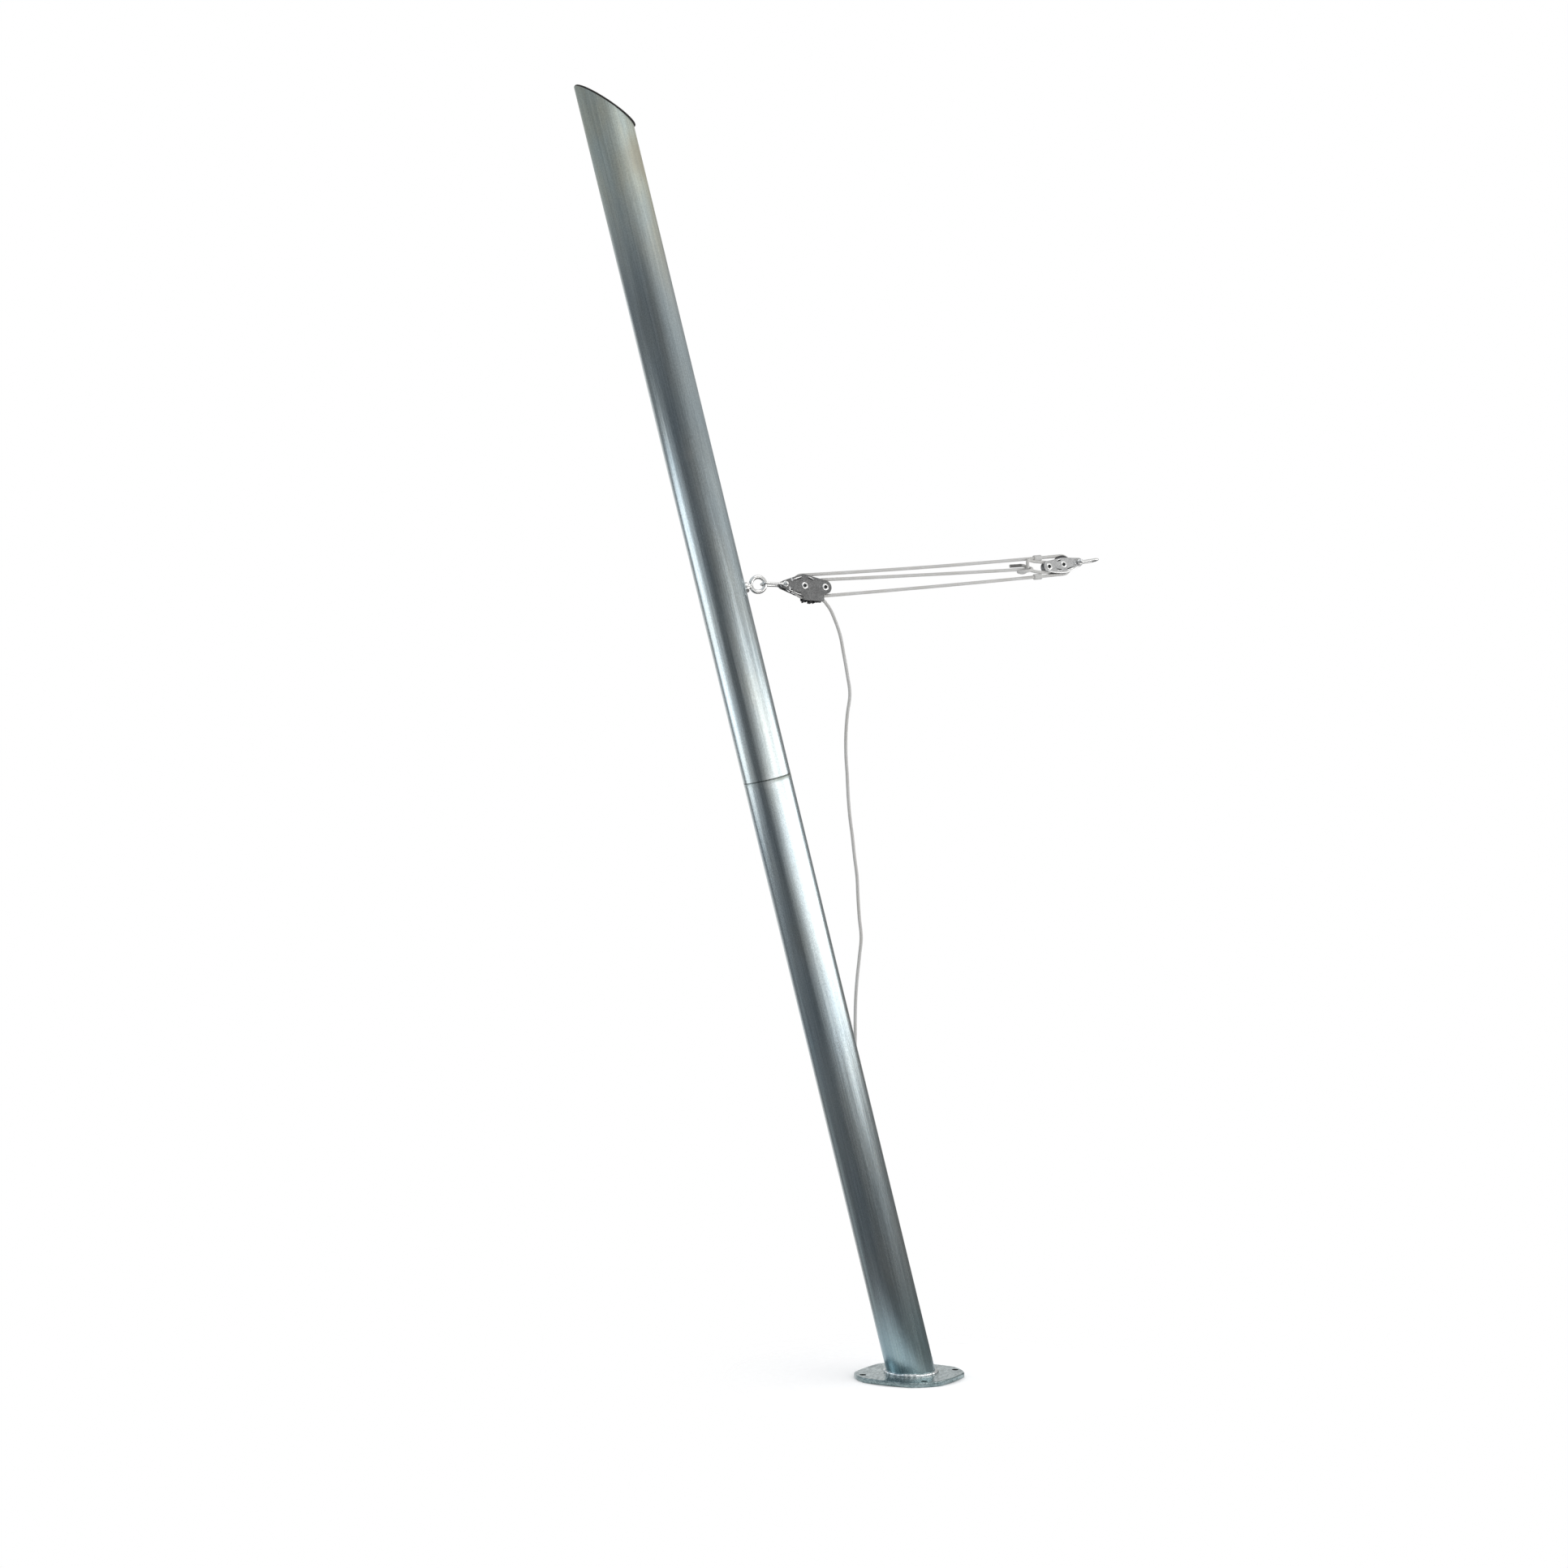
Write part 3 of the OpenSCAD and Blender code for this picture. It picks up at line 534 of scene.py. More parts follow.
def rubber():
    """Black moulding with a little dust."""
    material, tree, shader = new_material("cap_rubber")
    grain = noise(tree, mapped(tree), 900, 4)
    dust = noise(tree, mapped(tree), 40, 5)
    paint = ramp(tree, dust, [(0.4, (0.014, 0.012, 0.011)), (0.7, (0.034, 0.030, 0.026))])
    coat(tree, shader, paint, grey(tree, grain, [(0.3, 0.55), (0.7, 0.75)]))
    bump(tree, shader, grain, 0.25, 0.0002)
    return material


def braid_fibre(name, colour, low):
    """Rope fibre; the piece's own height map puts painted shade in the valleys between its strands and a
    painted highlight on their crests.
    """
    material, tree, shader = new_material(name)
    fibre = noise(tree, mapped(tree), 2600, 3)
    soil = noise(tree, mapped(tree), 18, 4)
    lit_crest = tuple(1.10 * c for c in colour)
    # painted shade in the valleys (the low colour) and a painted highlight on the crests
    paint = ramp(tree, attribute(tree, "rise"), [(0.0, low), (0.35, colour), (1.0, lit_crest)])
    paint = shaded(tree, paint, ramp(tree, fibre, [(0.3, 0.86), (0.7, 1.05)]))
    paint = shaded(tree, paint, ramp(tree, soil, [(0.36, (0.93, 0.92, 0.90)), (0.6, 1.0)]))
    tree.links.new(paint, shader.inputs["Base Color"])
    shader.inputs["Roughness"].default_value = 0.78
    shader.inputs["Sheen Weight"].default_value = 0.25
    shader.inputs["Sheen Roughness"].default_value = 0.4
    bump(tree, shader, fibre, 0.35, 0.0003)
    return material


SLOTS = {
    "galvanised_tube": tube_zinc(),
    "galvanised_plate": plate_zinc(),
    "weld_metal": brushed("weld_metal", (0.72, 0.76, 0.77), 0.26, 700, 0.85),
    "sleeve_steel": brushed("sleeve_steel", (0.5, 0.52, 0.54), 0.4),
    "cap_rubber": rubber(),
    "shackle_steel": brushed("shackle_steel", (0.93, 0.93, 0.925), 0.22, 1500, 0.92, 0.04),
    "eye_steel": brushed("eye_steel", (0.94, 0.94, 0.93), 0.22, 1500, 0.92, 0.04),
    "cheek_steel": brushed("cheek_steel", (0.36, 0.362, 0.365), 0.42, 520, 0.55, 0.25, 0.2, 1.9),
    "bush_steel": brushed("bush_steel", (0.72, 0.73, 0.74), 0.25),
    "jam_steel": brushed("jam_steel", (0.06, 0.06, 0.062), 0.5),
    "axle_steel": brushed("axle_steel", (0.97, 0.97, 0.965), 0.30, 1500, 0.95, 0.03),
    # painted shade: the sheaves are near-black so the slots in the cheeks look shaded inside
    "sheave_metal": brushed("sheave_metal", (0.12, 0.12, 0.125), 0.35),
    # the last colour of each is the painted shade in the rope's and the twine's valleys
    "rope_braid": braid_fibre("rope_braid", (0.60, 0.595, 0.58), (0.14, 0.14, 0.135)),
    "whipping_twine": braid_fibre("whipping_twine", (0.58, 0.58, 0.57), (0.30, 0.30, 0.29)),
}
for part in frame["record"]["subparts"]:
    node = frame["nodes"][part["node"]]
    node.data.materials.clear()
    node.data.materials.append(SLOTS[part["material_slot"]])


# --- rope

def braid_height(theta, s, carriers=8, pitch=3.4):
    """0 to 1: how far the strands of a two-over, two-under braid stand up."""
    u = carriers * theta / TURN + s / pitch
    v = carriers * theta / TURN - s / pitch
    fu, fv = u - np.floor(u), v - np.floor(v)
    over = ((np.floor(u) + 2 * np.floor(v)) % 4) < 2
    across = np.where(over, fu, fv)
    along = np.where(over, fv, fu)
    ridge = np.clip(1 - np.abs(2 * across - 1) ** 2.4, 0, 1)
    return ridge * (0.6 + 0.4 * np.sin(pi * along))


def braided(name, points, body, replaced, start=0.0):
    """A braided rope along the points, which are already smooth; start is where its braid begins."""
    path, s = resample(points, BRAID_STEP)
    rise = braid_height(full_turn(BRAID_SIDES)[None, :], (s + start)[:, None])
    verts, faces = tube(path, ROPE_R - 0.6 + 0.7 * rise, BRAID_SIDES, round_end=0.4)
    piece = new_piece(name, verts, faces, body, "rope_braid", replaced)
    return piece, path, rise.reshape(-1)


def set_rise_shade(piece, values):
    """The braid's or the twine's height at each point, which the material turns into painted shade and
    highlight; the ends' middles come last.
    """
    point_values(piece, "rise", np.append(values, [0.5, 0.5]))


TAIL_POINTS = [(-210.8, 21.2, 1857.8), (-206, 24, 1855.5), (-199, 28, 1849), (-184, 32, 1828),
               (-164, 36, 1780), (-153, 39, 1732), (-143, 43, 1684), (-135, 47, 1636), (-140, 51, 1587),
               (-143, 53, 1539), (-142, 56, 1490), (-138, 59, 1442), (-135, 61, 1393), (-130, 64, 1344),
               (-123, 66, 1296), (-117, 68, 1247), (-110, 70, 1198), (-107, 72, 1149), (-103, 74, 1100),
               (-98, 75, 1051), (-102, 77, 1003), (-107, 78, 954), (-110, 80, 905), (-111, 81, 856),
               (-111, 81, 807), (-112, 82, 756)]


def add_tail():
    """The hanging end of the rope, with its end bound."""
    curve = catmull(TAIL_POINTS, 40)
    piece, path, rise = braided("rope_tail", curve, "rope_tail", ["tail_rope"])
    set_rise_shade(piece, rise)
    end = unit(path[-1] - path[-2])
    step, twine_turn, first, last, half_length = 0.35, 1.4, 17.0, 2.9, 6.6
    wound = np.array([path[-1] - end * d for d in np.arange(first, last, -step)])
    along = np.arange(len(wound)) * step
    ridge = np.abs(np.sin(pi * along / twine_turn))
    r = ROPE_R + 0.35 + 0.35 * ridge - 0.5 * (np.abs(along - along.mean()) > half_length)
    verts, faces = tube(wound, r, BRAID_SIDES)
    whipping = new_piece("tail_end_whipping", verts, faces, "rope_tail", "whipping_twine")
    set_rise_shade(whipping, np.repeat(ridge, BRAID_SIDES))


add_tail()


def flat(point):
    """A point's place in the tackle's own plane."""
    x, _, z = TACKLE.local(point)
    return np.array([x, z])


def heading(a, b):
    """The angle of the way from a to b."""
    return atan2(b[1] - a[1], b[0] - a[0])


def tangent(a, ra, b, rb, side):
    """The angle of the line that touches two circles on the same side."""
    return heading(a, b) - side * asin((ra - rb) / np.linalg.norm(b - a))


def rim(c, r, angle):
    return c + r * ray(angle)


def arc(c, r, start, end, n=60):
    return rim(c, r, np.linspace(start, end, n))


def run_line(a, b, sag, n=80):
    """A strand with a little sag."""
    t = np.linspace(0, 1, n)[:, None]
    line = (1 - t) * a + t * b
    line[:, 1] -= (4 * sag * t * (1 - t))[:, 0]
    return line


LARGE, SMALL, FAR = (flat(place(n + "_sheave_spin")) for n in ("large", "small", "far"))
BECKET = flat(BLOCK2(-BECKET_BACK))


def hitch_path():
    """The rope's short end, its turns round the standing part, the loop round the becket, and the way out."""
    u, w = BECKET
    above = [(-106, 0, 6.6), (-98, 0, 6.8), (-84, 0.5, 7), (-72, 2.5, 7.6), (-62, 5.5, 6.6), (-52, 4.5, 2),
             (-47.5, -2.5, -2.5), (-53, -9.5, -6.6), (-64, -11.5, -9.2), (-76, -9, -9.5), (-84, -1.5, -8.6),
             (-79, 6.5, -8.2), (-68, 7.5, -9.6), (-61.5, 1.0, -7.5), (-60, -6.5, 0.5), (-60.5, -8.6, 9.5),
             (-57.5, -6.2, 17.0), (-49, -1.5, 18.4), (-36, 0, 15.6), (-20, 0, 13.6)]
    lead = catmull([(u + a, y, w + b) for a, y, b in above], 16)
    turn = arc(BECKET, BECKET_R, QUARTER + 0.06, -QUARTER - 0.10, 40)
    turn = np.stack([turn[:, 0], 0 * turn[:, 0], turn[:, 1]], -1)
    below = [(-20, 0, -12.2), (-36, 0, -9.6), (-50, 1.5, -5.6), (-60, 2.8, -2.8), (-72, 2.0, -2.2),
             (-88, 0.6, -3.0)]
    back = catmull([(u + a, y, w + b) for a, y, b in below], 16)
    return np.vstack([lead, turn, back])


def hitch_and_run():
    """The hitch at the becket, and the rope from there over all three sheaves into the jam."""
    hitch = hitch_path()
    way_in = hitch[-1, [0, 2]]
    top = tangent(LARGE, LARGE_R, FAR, FAR_R, 1)
    bottom = tangent(SMALL, SMALL_R, FAR, FAR_R, -1)
    middle = tangent(SMALL, SMALL_R, way_in, 0, 1)
    jam_exit = flat(BLOCK1(SMALL_X - 3.5, 0, -LARGE_R - 3))
    jam = tangent(LARGE, LARGE_R, jam_exit, 0, -1)
    jam_from = rim(LARGE, LARGE_R, jam - QUARTER)
    room = ROPE_R + 1.9         # the tail turns here without touching the run's end
    middle_sag, bottom_sag, top_sag = 0.8, 1.4, 3.2
    jam_to = jam_exit - room * unit(jam_exit - jam_from)
    line = np.vstack([
        run_line(way_in, rim(SMALL, SMALL_R, QUARTER + middle), middle_sag)[:-1],
        arc(SMALL, SMALL_R, QUARTER + middle, 3 * QUARTER + bottom),
        run_line(rim(SMALL, SMALL_R, bottom - QUARTER), rim(FAR, FAR_R, bottom - QUARTER), bottom_sag)[1:-1],
        arc(FAR, FAR_R, bottom - QUARTER, QUARTER + top),
        run_line(rim(FAR, FAR_R, QUARTER + top), rim(LARGE, LARGE_R, QUARTER + top), top_sag)[1:-1],
        arc(LARGE, LARGE_R, QUARTER + top, 3 * QUARTER + jam),
        run_line(jam_from, jam_to, 0)[1:]])
    run = TACKLE(line[:, 0], 0, line[:, 1])
    hitch = TACKLE(*hitch.T)
    length = np.linalg.norm(np.diff(hitch, axis=0), axis=1).sum()
    replaced = ["becket_knot", "becket_legs", "becket_turn"]
    piece, path, rise = braided("becket_hitch", hitch, "tackle", replaced)
    along = np.repeat(np.arange(len(path)) * BRAID_STEP, BRAID_SIDES)
    # painted shade: the first stretch of the short end takes the valley colour all round
    set_rise_shade(piece, rise * np.interp(along, [0, 30, 44], [0.0, 0.0, 1.0]))     # the short end is painted dark as shade
    replaced = ["middle_strand", "small_turn", "bottom_strand", "far_turn", "top_strand", "large_turn",
                "jam_run"]
    piece, _, rise = braided("rope_run", run, "tackle", replaced, start=length)
    set_rise_shade(piece, rise)
    return top, bottom


TOP_ANGLE, BOTTOM_ANGLE = hitch_and_run()


def add_whipping(name, end, angle, back, sag_at):
    """Twine wound round a strand, ending a distance back from the strand's own end."""
    length, lift, twine_turn, sides = 22.0, 2.7, 1.5, 40
    way = ray(angle)
    start = end - (back + length) * way
    s = np.arange(0, length + 0.01, 0.3)
    pts = start + s[:, None] * way
    pts[:, 1] -= sag_at
    ridge = np.abs(np.sin(pi * s / twine_turn))
    edge = np.clip(np.minimum(s, length - s) / 1.8, 0, 1)
    r = ROPE_R + 0.2 + lift * np.sqrt(1 - (1 - edge) ** 2) + 0.3 * ridge
    verts, faces = tube(TACKLE(pts[:, 0], 0, pts[:, 1]), r, sides)
    piece = new_piece(name, verts, faces, "tackle", "whipping_twine", [name])
    set_rise_shade(piece, np.repeat(0.35 + 0.65 * ridge, sides))


add_whipping("top_whipping", rim(FAR, FAR_R, QUARTER + TOP_ANGLE), TOP_ANGLE, 56, 1.1)
add_whipping("bottom_whipping", rim(FAR, FAR_R, BOTTOM_ANGLE - QUARTER), BOTTOM_ANGLE, 64, 0.5)


# --- plates with rounded edges

def grown(loop, distance):
    """The closed outline moved outwards along its own normals (anticlockwise outlines)."""
    p = np.asarray(loop, float)
    a, b = p - np.roll(p, 1, 0), np.roll(p, -1, 0) - p
    na = np.stack([a[:, 1], -a[:, 0]], -1) / np.maximum(np.linalg.norm(a, axis=1), 1e-9)[:, None]
    nb = np.stack([b[:, 1], -b[:, 0]], -1) / np.maximum(np.linalg.norm(b, axis=1), 1e-9)[:, None]
    n = na + nb
    n /= np.maximum(np.linalg.norm(n, axis=1), 1e-9)[:, None]
    return p + distance * n / np.maximum((n * na).sum(1), 0.5)[:, None]


def plate(name, outline, holes, low, high, bevel, axes, body, slot, replaced):
    """A plate with rounded edges in the axes' X-Z plane, between two levels along -Y."""
    turns = np.radians([0, 22.5, 45, 67.5, 90])
    rim_width, hole_bevel = 0.25, 0.3
    verts, faces, ends, hollow_shade = [], [], [], []
    for k, loop in enumerate([outline] + list(holes)):
        size, way = (bevel, 1) if k == 0 else (hole_bevel, -1)
        levels = [(size * (1 - sin(t)), low + size * (1 - cos(t))) for t in turns]
        rows = [(size + rim_width, low)] + levels
        rows += [(inset, high + low - level) for inset, level in rows[::-1]]
        n, start = len(loop), len(verts)
        for inset, level in rows:
            verts += [(x, y, level) for x, y in grown(loop, -way * inset)]
            # the hole and slot walls are marked for painted shade
            hollow_shade += [float(k > 0 and low < level < high)] * n
        faces += [f[::way] for f in grid_faces(len(rows), n, start)]
        ends.append((start, start + (len(rows) - 1) * n, n))
    x, z, level = np.array(verts).T
    piece = new_piece(name, axes(x, -level, z), faces, body, slot, replaced)
    point_values(piece, "hollow_shade", hollow_shade)
    work = bmesh.new()
    work.from_mesh(piece.data)
    for side in (0, 1):
        rim_verts = {e[side] + i for e in ends for i in range(e[2])}
        open_edges = [e for e in work.edges if e.is_boundary and all(v.index in rim_verts for v in e.verts)]
        bmesh.ops.triangle_fill(work, use_beauty=True, edges=open_edges)
    for face in work.faces:
        face.smooth = True
    work.to_mesh(piece.data)
    work.free()


# The cheeks' own points, in each block's X and Z: circles round which the outline runs (x, z, radius,
# points), slots from end to end, rivets. The first block also has a square foot over the jam.
FIRST_CIRCLES = [(0, 0, 9.5, 72), (LARGE_X - 3, LARGE_R - 10, 11, 72), (SMALL_X, 0, 16.5, 96),
                 (LARGE_X - 2, -10, 16.5, 96)]
FOOT_LEFT, FOOT_RIGHT, FOOT_BOTTOM, FOOT_CORNER = LARGE_X - 5, SMALL_X - 4, -LARGE_R - 8, 2.5
FOOT_CIRCLES = [(x, z, FOOT_CORNER, 24) for x in (FOOT_LEFT + FOOT_CORNER, FOOT_RIGHT - FOOT_CORNER)
                for z in (FOOT_BOTTOM + FOOT_CORNER, 0)]
FIRST_CENTRE = (LARGE_X + 8, -14)       # a point inside both shapes
SECOND_CIRCLES = [(0, -3, FAR_R - 3, 120), (PIN2_X, 0, 10.5, 72), (-BECKET_BACK, 0, 14.5, 72)]
FIRST_SLOTS = [((LARGE_X - 26, 12), (LARGE_X - 9, 18.2)), ((LARGE_X + 11, 19.2), (LARGE_X + 21, 15.2)),
               ((LARGE_X - 40, -10), (LARGE_X - 32, -13.2)), ((LARGE_X - 27, -15.2), (LARGE_X - 12, -19.6))]
SECOND_SLOTS = [((-15.3, 10.4), (-7, 11.7)), ((-21, -9), (-10, -12.2)), ((8, -12.6), (25, -9.2))]
SECOND_LIP = [(-48, -9.5), (-36, -14.2), (-19, -17.9), (-1, -19.6), (16, -17.0), (30, -13.2), (42, -8.6)]
SLOT_R = 1.1
FIRST_RIVETS = [(LARGE_X - 34, 12.5), (LARGE_X - 40, -8.5)]
SECOND_RIVETS = [(PIN2_X - 13, 0)]
FIRST_OUTLINE = joined(wrapped(FIRST_CIRCLES), wrapped(FOOT_CIRCLES), FIRST_CENTRE)


def cheeks(prefix, outline, axes, pin, axles, slots):
    """Both cheeks of a block: holes for the pin and the axles, and slots."""
    hole_r = AXLE_R + 0.05
    holes = [circle(pin, 0, PIN_HOLE_R)] + [circle(x, 0, hole_r) for x in axles]
    holes += [slot_outline(a, b, SLOT_R) for a, b in slots]
    for side, (low, high) in (("near", (CHEEK_IN, CHEEK_OUT)), ("far", (-CHEEK_OUT, -CHEEK_IN))):
        plate(f"{prefix}_{side}_cheek_plate", outline, holes, low, high, 0.55, axes, "tackle", "cheek_steel",
              [f"{prefix}_{side}_cheek"])


cheeks("first", FIRST_OUTLINE, BLOCK1, 0, (LARGE_X, SMALL_X), FIRST_SLOTS)
cheeks("second", wrapped(SECOND_CIRCLES), BLOCK2, PIN2_X, (0, -BECKET_BACK), SECOND_SLOTS)


def lips(name, axes, lines):
    """Folded edges that stand a little proud of both cheeks, in the brighter axle steel as a painted
    highlight.
    """
    sides, thickness = 14, 0.9
    theta = full_turn(sides)
    parts = []
    for line, width in lines:
        thin = min(thickness, width)
        oval = 1 / np.sqrt((np.cos(theta) / thin) ** 2 + (np.sin(theta) / width) ** 2) / width
        for y in (-CHEEK_OUT, CHEEK_OUT):
            pts = catmull([(a, y, b) for a, b in line], 10)
            size = width * np.clip(np.sin(np.linspace(0.12, pi - 0.12, len(pts))), 0, 1) ** 0.25
            parts.append(tube(axes(*pts.T), size[:, None] * oval, sides, normal=axes.y))
    # painted highlight: the cheeks' own folded edges take the bright axle steel
    new_piece(name, *merge(parts), "tackle", "cheek_steel", material="axle_steel")


def beside(a, b, distance, bow=0.6, past=2.0):
    """A bowed line just outside the slot from a to b."""
    a, b = np.array(a, float), np.array(b, float)
    along = unit(b - a)
    out = np.array([-along[1], along[0]])
    if out[1] * (a[1] + b[1]) < 0:
        out = -out
    low = (distance - bow) * out
    return [a - past * along + low, (a + b) / 2 + distance * out, b + past * along + low]


lips("first_block_lips", BLOCK1, [(beside(a, b, 2.6), 1.35) for a, b in FIRST_SLOTS])
lips("second_block_lips", BLOCK2, [(beside(a, b, 2.4), 1.1) for a, b in SECOND_SLOTS] + [(SECOND_LIP, 2.9)])


def mirrored(half):
    """The half profile at -Y, from the middle of its end to its root."""
    return [(r, -y) for r, y in half[::-1]]


def spacers(name, places, axes, node):
    """Spacers through both cheeks, riveted over in domed heads."""
    shank_r, head_r, height = 2.6, 3.5, 1.3
    dome = [(head_r * (0.55 + 0.45 * cos(a)), height * (0.25 + 0.75 * sin(a)))
            for a in np.linspace(0, QUARTER, 7)]
    half = [(shank_r, -0.1), (head_r - 0.1, -0.05), (head_r, 0.25 * height)] + dome
    half += [(0.25 * head_r, 1.03 * height), (0.01, 1.04 * height)]
    half = [(r, CHEEK_OUT + y) for r, y in half]
    parts = [lathe(axes, mirrored(half) + half, x, z, 32, closed=False) for x, z in places]
    new_piece(name, *merge(parts), "tackle", "bush_steel", [node])


spacers("first_block_spacers", FIRST_RIVETS, BLOCK1, "first_spacers")
spacers("second_block_spacers", SECOND_RIVETS, BLOCK2, "second_spacers")


def axle(name, x, axes, node, body_r=AXLE_R):
    """A tube through both cheeks, rolled over at its ends, and thicker between them where body_r says so."""
    sides, roll_r, roll_height = 64, 2.0, 1.15
    roll = [(AXLE_BORE_R + roll_r * (1 - cos(t)), CHEEK_OUT + 0.15 + roll_height * sin(t))
            for t in np.linspace(0, pi, 13)]
    out = roll + [(AXLE_LIP_R, CHEEK_OUT), (AXLE_R, CHEEK_OUT - 0.05)]
    if body_r > AXLE_R:
        out += [(AXLE_R, CHEEK_IN), (body_r, CHEEK_IN - 0.15)]
    profile = [(AXLE_BORE_R, 0), (AXLE_BORE_R, CHEEK_OUT - 1.2)] + out + mirrored(out)
    profile.append((AXLE_BORE_R, 1.2 - CHEEK_OUT))
    piece = new_piece(name, *lathe(axes, profile, x, 0, sides), "tackle", "axle_steel", [node])
    # the bore's inside is marked for painted shade
    inside = [r < AXLE_BORE_R + 0.05 and abs(y) < CHEEK_OUT for r, y in profile]
    point_values(piece, "hollow_shade", np.repeat(inside, sides))


axle("large_axle_tube", LARGE_X, BLOCK1, "large_axle")
axle("small_axle_tube", SMALL_X, BLOCK1, "small_axle")
axle("becket_axle_tube", -BECKET_BACK, BLOCK2, "becket_axle", BECKET_BODY_R)
axle("far_axle_tube", 0, BLOCK2, "far_axle")


# --- shackles and ring eye

def ear_profile():
    """Half section of a shackle's round ear about its pin hole."""
    edge, hole_r = 1.2, PIN_R + 0.05
    inner = [(hole_r, -EAR_T / 2 + 0.4), (hole_r + 0.35, -EAR_T / 2)]
    outer = [(EAR_R - edge + edge * cos(a), copysign(EAR_T / 2 - edge, a) + edge * sin(a))
             for a in np.radians([-90, -60, -30, -1, 1, 30, 60, 90])]
    return inner + outer + [(r, -y) for r, y in inner[::-1]]


def shackle(name, axes, length, body, node):
    """A long shackle whose bar lies at the origin's axes and whose pin is at +X."""
    sides, flare_length = 24, 15.0
    bow_x = BOW_R - RING_BAR_R - ROD_R - 1
    leg = np.array([(x, BOW_R) for x in np.linspace(length, bow_x, 34)])
    line = np.vstack([leg, arc((bow_x, 0), BOW_R, QUARTER, 3 * QUARTER, 40)[1:-1], (leg * (1, -1))[::-1]])
    # the rod spreads into a flat blade towards its ears
    flare = (1 - np.clip((length - line[:, 0]) / flare_length, 0, 1)) ** 2
    theta = full_turn(sides)
    high = (ROD_R + 2.7 * flare)[:, None]
    wide = (ROD_R - 0.7 * flare)[:, None]
    r = 1 / np.sqrt((np.cos(theta)[None] / high) ** 2 + (np.sin(theta)[None] / wide) ** 2)
    parts = [tube(axes(*line.T), r, sides, normal=axes.z)]
    for side in (-1, 1):
        parts.append(lathe(axes, [(a, b + side * BOW_R) for a, b in ear_profile()], length, 0, 48))
    new_piece(name, *merge(parts), body, "shackle_steel", [node])


def shackle_pin(name, axes, x, body, node):
    """A pin with a ball head on the near side and a chamfered nut on the far side."""
    outer = BOW_R + EAR_T / 2
    ball_r, nut_r, nut_height, chamfer = 5.0, 5.2, 4.1, 1.1
    tip = outer + nut_height + 1.5
    ball = [(ball_r * cos(a), -(outer + 4) - ball_r * sin(a))
            for a in np.radians(np.linspace(88, -50, 22))]
    profile = [(0.01, ball[0][1] - 0.01)] + ball
    profile += [(PIN_R, -outer), (PIN_R - 0.05, 0), (PIN_R, tip - 0.6), (PIN_R - 0.6, tip), (0.01, tip)]
    hexagon = rounded(circle(x, 0, nut_r, 6), 0.8, 3)
    n = len(hexagon)
    rows = [np.repeat(axes(x, outer, 0)[None], n, 0)]
    for inset, y in ((chamfer, 0), (0, 0.5), (0, nut_height - 0.5), (chamfer, nut_height)):
        g = grown(hexagon, -inset)
        rows.append(axes(g[:, 0], outer + y, g[:, 1]))
    rows.append(np.repeat(axes(x, outer + nut_height, 0)[None], n, 0))
    parts = [lathe(axes, profile, x, 0, 40, closed=False), (np.vstack(rows), grid_faces(len(rows), n))]
    piece = new_piece(name, *merge(parts), body, "shackle_steel", [node])
    piece.data.set_sharp_from_angle(angle=radians(35))


def in_tackle(angle):
    """A direction in the tackle's own plane, by its angle above the tackle's line."""
    return cos(angle) * TACKLE.x + sin(angle) * TACKLE.z


BAR1 = Axes(place("tackle_slew"), in_tackle(-SHACKLE_DROOP), ACROSS)
PIN2 = Axes(place("far_shackle_swing"), in_tackle(heading(BECKET, flat(place("far_shackle_swing")))), ACROSS)
RING2 = Axes(PIN2(SECOND_SHACKLE_LENGTH), -PIN2.x, PIN2.y)
shackle("first_shackle_bow", BAR1, FIRST_SHACKLE_LENGTH, "first_shackle", "first_shackle")
shackle_pin("first_shackle_bolt", BAR1, FIRST_SHACKLE_LENGTH, "first_shackle", "first_shackle_pin")
shackle("second_shackle_bow", RING2, SECOND_SHACKLE_LENGTH, "second_shackle", "second_shackle")
shackle_pin("second_shackle_bolt", PIN2, 0, "second_shackle", "second_shackle_pin")


def ring_eye():
    """The ring, and its neck, seat collar and shank turned as one."""
    around_ring, around_bar = 96, 28
    t, u = full_turn(around_ring), full_turn(around_bar)
    out = np.cos(t)[:, None] * MAST.x + np.sin(t)[:, None] * MAST.z
    middle = MAST(TUBE_R + EYE_STAND, 0, EYE_HEIGHT)
    rings = (middle + (RING_R + RING_BAR_R * np.cos(u))[None, :, None] * out[:, None]
             + RING_BAR_R * np.sin(u)[None, :, None] * MAST.y)
    faces = grid_faces(around_ring, around_bar, closed=True)
    # radius and height above the tube's surface
    shank = -TUBE_WALL - 12
    collar = [(0.01, shank), (4.3, shank), (5, shank + 0.7), (5, -2.2), (11.4, -2.0), (12.3, 0.2),
              (12.5, 1.4), (12.5, 5.4), (12.1, 6.4), (11.2, 7.0), (8.6, 7.2), (6.9, 7.9), (6.1, 9.2),
              (5.9, 10.4), (6.4, 12.4), (6.2, 14.0), (3.0, 15.5), (0.01, 15.6)]
    profile = [(r, TUBE_R + h) for r, h in collar]
    parts = [(rings.reshape(-1, 3), faces), lathe(EYE, profile, 0, 0, 64, closed=False)]
    new_piece("ring_eye_forging", *merge(parts), "mast", "eye_steel", ["ring_eye"])


ring_eye()


# --- base plate, weld, cap

